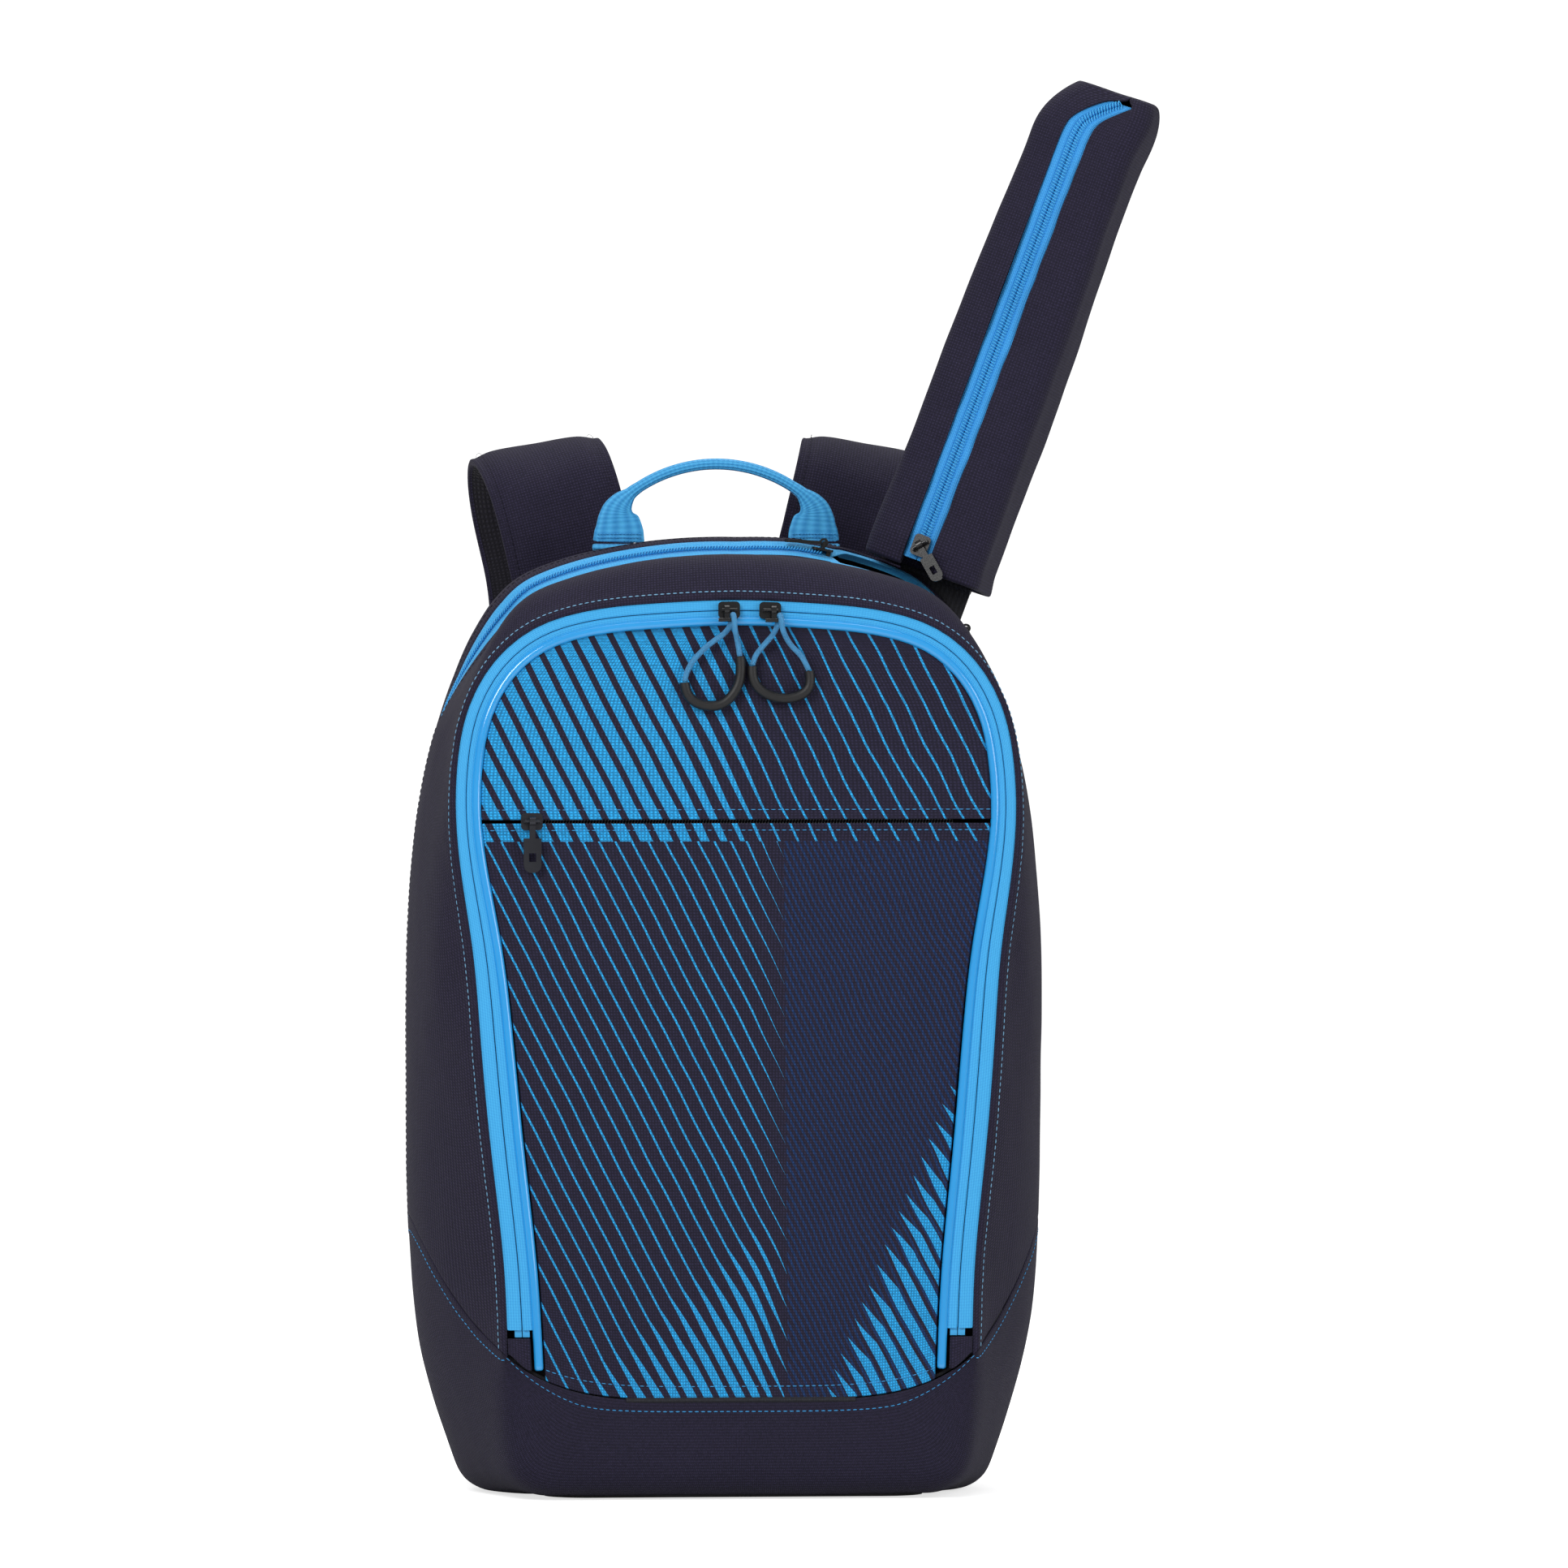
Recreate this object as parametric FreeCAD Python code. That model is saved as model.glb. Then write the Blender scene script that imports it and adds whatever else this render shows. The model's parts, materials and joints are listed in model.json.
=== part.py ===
# Racket backpack with a zipped racket-handle hood, built as separate sewn and moulded pieces.
# Units are millimetres. +Z is up, -Y is the front and +Y the wearer's side, +X is to the right
# seen from the front. The origin is the centre of the underside of the base.
import FreeCAD, Part
import math
import os

V = FreeCAD.Vector
os.makedirs("parts", exist_ok=True)

# ---- driving dimensions -------------------------------------------------------------------
wall = 2.0                       # padded fabric wall with its lining
seam_gap = 0.3                   # clearance between pieces that meet at a seam or a joint

body_top = 481.0                 # height of the main zip's crown
body_half_width = 159.0
crown_radius, crown_angle = 264.0, 20.0
flank_radius, flank_angle = 206.0, 83.0
corner_angle = 52.0              # where the shoulder corner runs into the flank
side_radius = 900.0
foot_inset, foot_power = 33.0, 4.3
floor_half_width = 104.0

front_top = body_top - 28.5      # height of the front zip's outer edge
front_half_width = body_half_width - 17.0
front_crown_radius, front_crown_angle = 500.0, 9.0
front_flank_radius, front_flank_angle = 110.0, 85.0
front_corner_angle = 70.0
front_side_radius = 300.0
front_zip_arch_width = 10.5      # both tapes of the front zip, round the arch
front_zip_side_width = 14.5      # the same, down the sides
front_rim = 3.0                  # turned edge of the band outside the front zip
front_floor_half_width = 90.0
base_edge_radius = 14.0          # rounding of the bag's lower front and rear edges

front_foot_y = -98.0             # front plane at floor height
front_lean = 0.075               # how far the front plane leans back for each unit of height
band_bulge_y = -40.0             # where the band is fullest
band_bulge_share = 0.8
zip_y = 15.0                     # plane of the main zip
main_zip_width = 14.0            # both visible tapes and the coil
rear_curve_y = 60.0
back_y = 85.0
rear_curve_inset = 2.0
back_inset = 9.0

boot_seam_z = 50.0               # height of the boot seam at the middle
boot_seam_rise = 78.0
boot_seam_power = 4.5

tape_thickness = 1.0
tape_sink = 0.3                  # tape lies this far under the fabric's surface
coil_width = 5.8
coil_thickness = 2.4
coil_proud = 0.8

piping_radius = 2.4
piping_y = 1.2                   # the piping's middle behind the front plane
seam_roll_radius, seam_roll_half = 1.5, 58.0
panel_thickness = 2.0
pocket_depth = 28.0
stash_zip_z = body_top - 140.0
stash_zip_gap = 7.0
stash_depth = 7.0
stash_drop = 150.0
garage_top_z = 82.0

slider_length, slider_width = 11.0, 8.6
slider_plate = 1.2
slider_gap = 0.35
slider_post = 2.2
bail_height = 2.9
bail_radius = 0.8
eye_radius = 2.3
pull_clearance = 0.35
pull_thickness = 1.6
pull_neck = 3.0
main_pull_length, main_pull_width, main_pull_droop = 20.0, 6.5, 8.0
tab_length, tab_neck, tab_bar_half, tab_bar_radius, tab_tilt = 5.5, 2.4, 4.4, 1.0, 18.0
cord_radius, grip_radius = 1.4, 2.6
cord_end_gap = 0.6               # between the cord's cut end and the grip
stash_pull_length, stash_pull_width, stash_pull_droop = 26.0, 9.0, 3.0
hood_pull_length, hood_pull_width = 21.0, 7.0
hood_pull_turn = 50.0            # the pull lies turned towards the right from the hood's zip

hood_lean = 20.5                 # degrees to the right of vertical
hood_turn = 18.0                 # degrees about the hood's own length
hood_base_right, hood_base_drop = 16.5, 16.0
hood_length = 262.0
hood_shoulder = 232.0            # where the crown of the hood starts to close
hood_width, hood_depth = 60.0, 50.0
hood_top_width, hood_top_depth = 53.0, 45.0
hood_tip_width, hood_tip_depth = 34.0, 26.0
hood_corner = 9.0
hood_zip_offset = -3.0
hood_zip_start, hood_zip_end = 6.0, 226.0
hood_tilt_roll = 2.2
hood_tip_shift = 6.0             # the tip is pinched over towards the right

mouth_half_length, mouth_half_width = 32.0, 17.0
mouth_centre_x = 90.0
mouth_tape = 5.0
tape_part = 2.0                  # the two tapes stay this far from the zip's middle at the mouth

handle_spread = 50.0             # handle end to the middle of the bag
handle_y = 36.0
handle_width = 27.0
handle_rise = 47.0
handle_neck_rise = 28.0
handle_neck_x = 46.0
handle_radius, handle_flat = 2.9, 1.0
handle_roll = 2.0
handle_patch = 12.0

strap_width = 66.0
strap_thickness = 10.0
strap_root_x = 66.0
strap_seam_z = body_top - 22.0
strap_seam_lean = 15.0           # the seam follows the slope of the shoulder
strap_roll = 2.5
webbing_width, webbing_thickness = 25.0, 1.6
lock_bar = 1.9
lock_rail, lock_depth = 4.0, 5.0
lock_pitch = 11.0
lock_drop = 9.0
anchor_stand = 5.0
anchor_z = 58.0
tail_length = 105.0

pad_thickness = 9.0
pad_inner_x, pad_outer_x = 18.0, 98.0
pad_low_z, pad_high_z = 128.0, body_top - 66.0
lumbar_half, lumbar_low_z, lumbar_high_z = 86.0, 62.0, 118.0
yoke_margin, yoke_height, yoke_thickness = 3.0, 34.0, 2.0

base_half_width, base_depth = 96.0, 76.0
base_corner = 22.0
board_thickness = 3.0
divider_y, divider_thickness, divider_top = 58.0, 4.0, body_top - 81.0
sheet_y, sheet_thickness, sheet_top = back_y - 5.8, 1.5, body_top - 41.0

far = 400.0                      # half size of the cutting blocks


# ---- small helpers ------------------------------------------------------------------------
def save(name, *solids):
    """Write one node, as one solid or as a group of separate solids."""
    pieces = [solid for shape in solids for solid in shape.Solids]
    shape = pieces[0] if len(pieces) == 1 else Part.makeCompound(pieces)
    shape.exportStep("parts/" + name + ".step")
    print(name, len(pieces), round(shape.Volume), shape.isValid())


def block(x0, x1, y0, y1, z0, z1):
    return Part.makeBox(x1 - x0, y1 - y0, z1 - z0, V(x0, y0, z0))


def slab_y(y0, y1):
    return block(-far, far, y0, y1, -far, 2 * far)


def slab_z(z0, z1):
    return block(-far, far, -far, far, z0, z1)


def rod(start, end, radius):
    span = end - start
    return Part.makeCylinder(radius, span.Length, start, span)


def frame_at(origin, x_axis, z_axis):
    """Placement with the given local X and, as near as can be, the given local Z."""
    x = V(x_axis).normalize()
    y = V(z_axis).cross(x).normalize()
    z = x.cross(y)
    rows = [(x.x, y.x, z.x, origin.x), (x.y, y.y, z.y, origin.y), (x.z, y.z, z.z, origin.z), (0, 0, 0, 1)]
    return FreeCAD.Placement(FreeCAD.Matrix(*[value for row in rows for value in row]))


def placed(shape, placement):
    moved = shape.copy()
    moved.Placement = placement.multiply(moved.Placement)
    return moved


def mirrored(shape):
    return shape.mirror(V(0, 0, 0), V(1, 0, 0))


def mix(first, second, share):
    return [(a[0] + share * (b[0] - a[0]), a[1] + share * (b[1] - a[1])) for a, b in zip(first, second)]


# ---- outlines -----------------------------------------------------------------------------
side_shares = (0.12, 0.2, 0.32, 0.5, 0.67, 0.93)
front_insets = (4.0, 8.0, 11.5, 17.0, 23.0, 28.0)


class Arch:
    """Half outline: four tangent arcs from the crown to the spring line, a side and a foot."""

    def __init__(self, top, half_width, arcs, insets, floor_half):
        self.angles = [math.radians(angle) for angle, radius in arcs]
        radii = [radius for angle, radius in arcs]
        sines = [0.0] + [math.sin(angle) for angle in self.angles]
        steps = [sines[i + 1] - sines[i] for i in range(4)]
        known = sum(step * radius for step, radius in zip(steps, radii) if radius)
        self.radii = [radius or (half_width - known) / steps[1] for radius in radii]
        self.top, self.half_width, self.insets = top, half_width, insets
        self.floor_half = floor_half
        self.centres = [(0.0, top - self.radii[0])]
        for i in range(3):
            shift = self.radii[i] - self.radii[i + 1]
            x, z = self.centres[-1]
            angle = self.angles[i]
            self.centres.append((x + shift * math.sin(angle), z + shift * math.cos(angle)))
        self.spring = self.centres[-1][1]

    def on_arc(self, index, angle, inset=0.0):
        x, z = self.centres[index]
        reach = self.radii[index] - inset
        return (x + reach * math.sin(angle), z + reach * math.cos(angle))

    def half(self, inset, floor_inset):
        points = []
        start = 0.0
        for index, parts in enumerate((2, 3, 2, 1)):
            stop = self.angles[index]
            for k in range(1, parts + 1):
                points.append(self.on_arc(index, start + (stop - start) * k / parts, inset))
            start = stop
        width = self.half_width - inset
        for share, cut in zip(side_shares, self.insets):
            points.append((width - cut, self.spring * (1 - share)))
        foot_x, foot_z = points[-1]
        for angle in (30, 60, 90):
            turn = math.radians(angle)
            x = self.floor_half + (foot_x - self.floor_half) * math.cos(turn)
            points.append((x, foot_z - (foot_z - floor_inset) * math.sin(turn)))
        return points

    def points(self, inset=0.0, floor_inset=0.0):
        half = self.half(inset, floor_inset)
        return [(-x, z) for x, z in reversed(half)] + [(0.0, self.top - inset)] + half


main_insets = [foot_inset * share ** foot_power for share in side_shares]
main_arcs = ((crown_angle, crown_radius), (corner_angle, 0),
             (flank_angle, flank_radius), (90.0, side_radius))
front_arcs = ((front_crown_angle, front_crown_radius), (front_corner_angle, 0),
              (front_flank_angle, front_flank_radius), (90.0, front_side_radius))
main_arch = Arch(body_top, body_half_width, main_arcs, main_insets, floor_half_width)
front_arch = Arch(front_top, front_half_width, front_arcs, front_insets, front_floor_half_width)


def piping_points():
    """Centre line of the piping: the front outline less the zip, which widens down the sides."""
    points = front_arch.points(front_zip_arch_width)
    extra = front_zip_side_width - front_zip_arch_width
    shifted = []
    for x, z in points:
        share = min(1.0, max(0.0, (front_arch.spring - z) / (0.35 * front_arch.spring)))
        shifted.append((x - math.copysign(extra * share, x), z))
    return shifted


front_points = front_arch.points()
pipe_points = piping_points()


def front_y(z):
    return front_foot_y + front_lean * z


def spline(points):
    curve = Part.BSplineCurve()
    curve.interpolate(Points=points, InitialTangent=V(-1, 0, 0), FinalTangent=V(-1, 0, 0), Scale=False)
    return curve.toShape()


def outline(points, y_of):
    """Closed wire: one spline over the arch and a straight floor line."""
    places = [V(x, y_of(z), z) for x, z in points]
    floor_line = Part.LineSegment(places[-1], places[0]).toShape()
    return Part.Wire([spline(places), floor_line])


def front_sheet(share, y_offset, thickness):
    """Plate in the leaning front plane, bounded by the line a share of the way to the piping."""
    wire = outline(mix(front_points, pipe_points, share), lambda z: front_y(z) + y_offset)
    return Part.Face(wire).extrude(V(0, thickness, 0))


def front_ring(outer_share, inner_share, y_offset, thickness):
    inner = front_sheet(inner_share, y_offset - 1, thickness + 2)
    return front_sheet(outer_share, y_offset, thickness).cut(inner)


def main_plate(inset, y0, y1):
    wire = outline(main_arch.points(inset), lambda z: y0)
    return Part.Face(wire).extrude(V(0, y1 - y0, 0))


def main_ring(outer_inset, inner_inset, y0, y1):
    return main_plate(outer_inset, y0, y1).cut(main_plate(inner_inset, y0 - 1, y1 + 1))


def body_form(inset):
    """Whole outer form of the bag, or the same form moved inwards by a wall."""
    rim = front_arch.points(inset - front_rim, inset)
    main = main_arch.points(inset, inset)
    half_zip = main_zip_width / 2
    wires = [
        outline(rim, lambda z: front_y(z) + inset),
        outline(mix(rim, main, band_bulge_share), lambda z: band_bulge_y),
        outline(main, lambda z: zip_y - half_zip),
        outline(main, lambda z: zip_y + half_zip),
        outline(main_arch.points(inset + rear_curve_inset, inset), lambda z: rear_curve_y),
        outline(main_arch.points(inset + back_inset, inset), lambda z: back_y - inset),
    ]
    loft = Part.makeLoft(wires, True, False)
    foot = block(-far, far, front_y(0) + inset, back_y - inset, inset, 2 * far)
    low_edges = [edge for edge in foot.Edges if edge.BoundBox.ZLength < 1 and edge.BoundBox.XLength > far
                 and edge.BoundBox.ZMin < far]
    return loft.common(foot.makeFillet(base_edge_radius - inset, low_edges))


def seam_z(x):
    return boot_seam_z + boot_seam_rise * (abs(x) / (body_half_width - 3)) ** boot_seam_power


def above_seam(lift):
    """Everything above the boot seam, moved up by lift."""
    reach = body_half_width + 12
    steps = 12
    xs = [reach * (k / steps) for k in range(-steps, steps + 1)]
    places = [V(x, -far, seam_z(x) + lift) for x in xs]
    curve = Part.BSplineCurve()
    curve.interpolate(places)
    top = 3 * far
    corners = [places[-1], V(reach, -far, top), V(-reach, -far, top), places[0]]
    edges = [curve.toShape()] + [Part.LineSegment(corners[i], corners[i + 1]).toShape() for i in range(3)]
    return Part.Face(Part.Wire(edges)).extrude(V(0, 2 * far, 0))


above = above_seam(seam_gap / 2)
below = slab_z(-far, far).cut(above_seam(-seam_gap / 2))


# ---- zips and their sliders ---------------------------------------------------------------
def zip_slider(out_gap, in_gap, bar_turn):
    """Slider with its coil line on local X, its nose at +X and its bridge on the +Z side.

    out_gap and in_gap are the distances from the coil's middle to the two plates. The bridge's
    bar is turned by bar_turn degrees from the travel, and its middle is returned with the solid.
    """
    half = slider_length / 2
    side = slider_width / 2
    top = out_gap + slider_plate
    outer = block(-half, half, -side, side, out_gap, top)
    inner = block(-half, half, -side, side, -in_gap - slider_plate, -in_gap)
    corners = [edge for edge in outer.Edges if edge.BoundBox.ZLength > slider_plate / 2]
    outer = outer.makeFillet(side / 2, corners)
    post = block(half - 1 - slider_post, half - 1, -slider_post / 2, slider_post / 2, -in_gap, out_gap)
    bar_z = top + bail_height
    reach = 0.34 * slider_length
    leg = block(reach - bail_radius, reach + bail_radius, -bail_radius, bail_radius, top, bar_z)
    bar = rod(V(-reach, 0, bar_z), V(reach, 0, bar_z), bail_radius)
    bridge = bar.fuse([leg, leg.mirror(V(0, 0, 0), V(1, 0, 0))])
    bridge.rotate(V(0, 0, 0), V(0, 0, 1), bar_turn)
    return outer.fuse([inner, post, bridge]).removeSplitter(), V(0, 0, bar_z)


def flat_pull(length, width, neck, hole_length):
    """Flat pull that hangs from a bar on local Y and lies along local X."""
    half = pull_thickness / 2
    bore = bail_radius + pull_clearance
    eye = Part.makeCylinder(eye_radius, neck, V(0, -neck / 2, 0), V(0, 1, 0))
    stem = block(0, length / 3, -neck / 2, neck / 2, -half, half)
    blade = block(length / 3, length, -width / 2, width / 2, -half, half)
    ends = [edge for edge in blade.Edges if edge.BoundBox.ZLength > half]
    blade = blade.makeFillet(width / 2 - 0.4, [edge for edge in ends if edge.BoundBox.XMin > length / 2])
    slot = block(length * 0.62, length * 0.62 + hole_length, -width / 5, width / 5, -far, far)
    pull = eye.fuse([stem, blade]).cut(slot)
    return pull.cut(Part.makeCylinder(bore, 2 * width, V(0, -width, 0), V(0, 1, 0))).removeSplitter()


plate_gap = coil_thickness / 2 + slider_gap
normal_slider, bar_place = zip_slider(plate_gap, plate_gap, 90)


# ---- carcass: rear gusset, boot, base and what stiffens them ------------------------------
half_zip = main_zip_width / 2
outer_form = body_form(0)
inner_form = body_form(wall)
shell = outer_form.cut(inner_form)
upper_shell = shell.common(above)


def mouth_prism(margin):
    """Upright lens between the two main sliders, where the racket handle comes out."""
    reach, rise = mouth_half_length + margin, mouth_half_width + margin
    low = 0.7 * body_top
    ends = [V(mouth_centre_x - reach, zip_y, low), V(mouth_centre_x + reach, zip_y, low)]
    crest = V(mouth_centre_x, zip_y + rise, low)
    dip = V(mouth_centre_x, zip_y - rise, low)
    edges = [Part.Arc(ends[0], crest, ends[1]).toShape(), Part.Arc(ends[1], dip, ends[0]).toShape()]
    return Part.Face(Part.Wire(edges)).extrude(V(0, 0, 0.5 * body_top))


mouth = mouth_prism(0)
mouth_rim = mouth_prism(mouth_tape)
mouth_edge = mouth_prism(mouth_tape + seam_gap)

rear_gusset = upper_shell.common(slab_y(zip_y + half_zip, back_y - wall)).cut(mouth_edge)
back_panel = upper_shell.common(slab_y(back_y - wall + seam_gap, far))
save("rear_gusset", rear_gusset)
save("back_panel", back_panel)


def base_plate(grow, z0, z1):
    reach, depth = base_half_width + grow, base_depth + grow
    plate = block(-reach, reach, -depth, depth - base_edge_radius / 2, z0, z1)
    corners = [edge for edge in plate.Edges if edge.BoundBox.ZLength > (z1 - z0) / 2]
    return plate.makeFillet(base_corner, corners)


hinge_y = front_y(boot_seam_z) + seam_roll_radius - 0.5
hinge_z = boot_seam_z
hinge_line = [V(-seam_roll_half, hinge_y, hinge_z), V(seam_roll_half, hinge_y, hinge_z)]
roll_room = rod(V(-far, hinge_y, hinge_z), V(far, hinge_y, hinge_z), seam_roll_radius + seam_gap)
boot = shell.common(below).cut([base_plate(seam_gap, -1, wall + 1), roll_room])
save("boot", boot)
save("base_panel", base_plate(0, 0, wall))
save("base_board", base_plate(-6, wall + seam_gap, wall + seam_gap + board_thickness))

divider_floor = wall + 2 * seam_gap + board_thickness
divider_room = slab_y(divider_y, divider_y + divider_thickness).common(slab_z(divider_floor, divider_top))
save("racket_divider", inner_form.common(divider_room))
sheet_room = slab_y(sheet_y, sheet_y + sheet_thickness).common(slab_z(divider_floor, sheet_top))
save("frame_sheet", inner_form.common(sheet_room))


def pad(x0, x1, z0, z1):
    """Padded block on the back panel, with rounded edges on the wearer's side."""
    solid = block(x0, x1, back_y + seam_gap, back_y + pad_thickness, z0, z1)
    corners = [edge for edge in solid.Edges if edge.BoundBox.YLength > pad_thickness / 2]
    solid = solid.makeFillet(3 * pad_thickness / 2, corners)
    rim = [edge for edge in solid.Edges if edge.BoundBox.YMin > back_y + pad_thickness - 0.01]
    return solid.makeFillet(pad_thickness / 2, rim)


save("back_pad_left", pad(-pad_outer_x, -pad_inner_x, pad_low_z, pad_high_z))
save("back_pad_right", pad(pad_inner_x, pad_outer_x, pad_low_z, pad_high_z))
save("lumbar_pad", pad(-lumbar_half, lumbar_half, lumbar_low_z, lumbar_high_z))

# ---- main zip -----------------------------------------------------------------------------
band_rear_y = zip_y - half_zip
gusset_front_y = zip_y + half_zip
coil_half = coil_width / 2
tape_out, tape_in = tape_sink, tape_sink + tape_thickness
coil_out, coil_in = -coil_proud, coil_thickness - coil_proud
coil_middle = (coil_out + coil_in) / 2

left_slider_angle = math.asin(52.0 / crown_radius)
left_slider_end = math.asin(-88.0 / crown_radius)
right_slider_angle = math.radians(57.5)
right_slider_end = math.radians(flank_angle - 1.5)


def cut_angle(index, angle, towards):
    """Block that keeps the part of the zip beyond a slider, on the side given by towards."""
    x, z = main_arch.on_arc(index, angle)
    piece = block(-far, far, -far, far, -far, far)
    base = FreeCAD.Placement(V(x, 0, z), FreeCAD.Rotation(V(0, 1, 0), math.degrees(angle)))
    piece.translate(V(towards * far, 0, 0))
    piece.Placement = base.multiply(piece.Placement)
    return piece


nose_gap = slider_length / 2 - 1 - slider_post - seam_gap
left_nose = left_slider_angle + nose_gap / crown_radius
right_nose = right_slider_angle - nose_gap / flank_radius
closed_left = cut_angle(0, left_nose, -1)
closed_right = cut_angle(2, right_nose, 1)
upright = block(0, far, -far, far, -far, far)


def main_zip_half(y0, y1, outer_inset, inner_inset):
    return main_ring(outer_inset, inner_inset, y0, y1).common(above)


def coil_runs(ring):
    """Closed stretches of a coil, one each side of the mouth."""
    left = ring.common(closed_left)
    right = ring.common(closed_right).common(upright)
    return [solid for run in (left, right) for solid in run.Solids if solid.Volume > 50]


front_coil_ring = main_zip_half(zip_y - coil_half, zip_y - seam_gap / 4, coil_out, coil_in)
rear_coil_ring = main_zip_half(zip_y + seam_gap / 4, zip_y + coil_half, coil_out, coil_in)
save("main_zip_coil_front", *coil_runs(front_coil_ring))
save("main_zip_coil_rear", *coil_runs(rear_coil_ring))

mouth_depth = 3 * mouth_half_width
thin_skin = main_ring(tape_out, tape_in, zip_y - mouth_depth, zip_y + mouth_depth).common(above)
mouth_border = mouth_rim.cut(mouth)


def main_tape(y0, y1, half):
    straight = slab_y(y0, y1).cut(mouth_rim)
    bend = mouth_border.common(half)
    return thin_skin.common(straight.fuse(bend))


edge_gap = seam_gap / 4
tape_reach_y = coil_half + edge_gap
front_tape = main_tape(band_rear_y + edge_gap, zip_y - tape_reach_y, slab_y(-far, zip_y - tape_part))
rear_tape = main_tape(zip_y + tape_reach_y, gusset_front_y - edge_gap, slab_y(zip_y + tape_part, far))
save("main_zip_tape_front", front_tape)
save("main_zip_tape_rear", rear_tape)

# ---- front section: band, pocket wall and the outer half of the front zip -----------------
front_hole = front_sheet(0.0, -4 * wall, 7 * wall)
front_band = upper_shell.common(slab_y(-far, band_rear_y)).cut([front_hole, mouth_edge, roll_room])
save("front_band", front_band)
save("boot_seam_roll", rod(hinge_line[0], hinge_line[1], seam_roll_radius))


def leaning_slab(y_offset, thickness, z0, z1):
    """Wide plate parallel to the front plane."""
    corners = [V(-far, front_y(z) + y_offset, z) for z in (z0, z1)]
    across = [V(far, point.y, point.z) for point in corners]
    wire = Part.makePolygon([corners[0], across[0], across[1], corners[1], corners[0]])
    return Part.Face(wire).extrude(V(0, thickness, 0))


def leaning_block(x0, x1, y_offset, thickness, z0, z1):
    return leaning_slab(y_offset, thickness, z0, z1).common(block(x0, x1, -far, far, -far, 2 * far))


lining = 1.5
seam_strip = above_seam(seam_gap / 2).cut(above_seam(seam_gap / 2 + lining))
floor_room = leaning_slab(5 * wall / 2, pocket_depth - 2 * wall, 0, 2 * front_top)
pocket_floor = inner_form.common(seam_strip).common(floor_room)
pocket_back = inner_form.common(leaning_slab(pocket_depth, lining, 0, 2 * front_top)).common(above)
save("pocket_wall", pocket_back.fuse(pocket_floor).cut(roll_room))

zip_half_share = 0.5
coil_share = (coil_half - seam_gap) / front_zip_arch_width
part_share = seam_gap / 2 / front_zip_arch_width
tape_y = tape_sink
front_coil_y = tape_sink + tape_thickness + 0.1
above_garage = slab_z(garage_top_z, 2 * far)
below_garage = slab_z(-far, garage_top_z - seam_gap).common(above)

left_front_x, right_front_x = -3.3, 17.5
between_sliders = block(left_front_x + nose_gap, right_front_x - nose_gap, -far, far, front_top / 2, 2 * far)
post_share = (slider_post / 2 + seam_gap) / front_zip_arch_width
parting = front_ring(zip_half_share - post_share, zip_half_share + post_share, 0, 2 * tape_thickness)
parting = parting.common(between_sliders)
outer_tape = front_ring(0.02, zip_half_share - part_share, tape_y, tape_thickness).common(above_garage)
inner_edge_share = 1 - (piping_radius + seam_gap) / front_zip_arch_width
inner_tape = front_ring(zip_half_share + part_share, inner_edge_share, tape_y, tape_thickness)
inner_tape = inner_tape.common(above_garage)
save("front_zip_tape_outer", outer_tape.cut(parting))
save("front_zip_tape_inner", inner_tape.cut(parting))
garage = front_ring(0.02, 0.7, tape_y, 1.5 * tape_thickness).common(below_garage).cut(roll_room)
save("zip_garages", garage)

front_crown = Arch(front_top - front_zip_arch_width / 2, front_half_width - front_zip_arch_width / 2,
                   [(angle, radius and radius - front_zip_arch_width / 2) for angle, radius in front_arcs],
                   front_insets, front_floor_half_width)


def front_coil(start_share, end_share):
    """One coil half behind the tape, left open between the noses of the two sliders."""
    ring = front_ring(start_share, end_share, front_coil_y, coil_thickness).common(above_garage)
    return ring.cut(between_sliders)


save("front_zip_coil_outer", front_coil(zip_half_share - coil_share, zip_half_share - part_share))
save("front_zip_coil_inner", front_coil(zip_half_share + part_share, zip_half_share + coil_share))

# ---- front flap: printed panels, piping and the stash pocket ------------------------------
panel_y = 0.2
panel_share = 1 + (piping_radius + seam_gap) / front_zip_arch_width
panel_plate = front_sheet(panel_share, panel_y, panel_thickness).common(above).cut(roll_room)
stash_low, stash_high = stash_zip_z - stash_zip_gap / 2, stash_zip_z + stash_zip_gap / 2
save("upper_panel", panel_plate.common(slab_z(stash_high, 2 * far)))
save("lower_panel", panel_plate.common(slab_z(-far, stash_low)))

pipe_line = spline([V(x, front_y(z) + piping_y, z) for x, z in pipe_points])
pipe_wire = Part.Wire([pipe_line])
start_point = pipe_line.valueAt(pipe_line.FirstParameter)
start_tangent = pipe_line.tangentAt(pipe_line.FirstParameter)
circle = Part.Wire([Part.makeCircle(piping_radius, start_point, start_tangent)])
piping = pipe_wire.makePipeShell([circle], True, False)
save("panel_piping", piping.common(above_seam(seam_gap + piping_radius)))

stash_tape_y = panel_y + panel_thickness + 0.2
stash_coil_y = stash_tape_y - coil_thickness - 0.05
stash_reach = front_half_width - 2 * front_zip_side_width - piping_radius
tape_slit = slider_post / 2 + 0.4
tape_reach = 13.0
stash_slider_x = -103.8
stash_tapes = [leaning_block(-stash_reach, stash_reach, stash_tape_y, tape_thickness, z0, z1)
               for z0, z1 in ((stash_zip_z - tape_reach, stash_zip_z - tape_slit),
                              (stash_zip_z + tape_slit, stash_zip_z + tape_reach))]
save("stash_zip_tape", *stash_tapes)
stash_coil_start = stash_slider_x - nose_gap
stash_coils = [leaning_block(stash_coil_start, stash_reach, stash_coil_y, coil_thickness, z0, z1)
               for z0, z1 in ((stash_zip_z - coil_half, stash_zip_z - seam_gap / 4),
                              (stash_zip_z + seam_gap / 4, stash_zip_z + coil_half))]
save("stash_zip_coil", *stash_coils)

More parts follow.
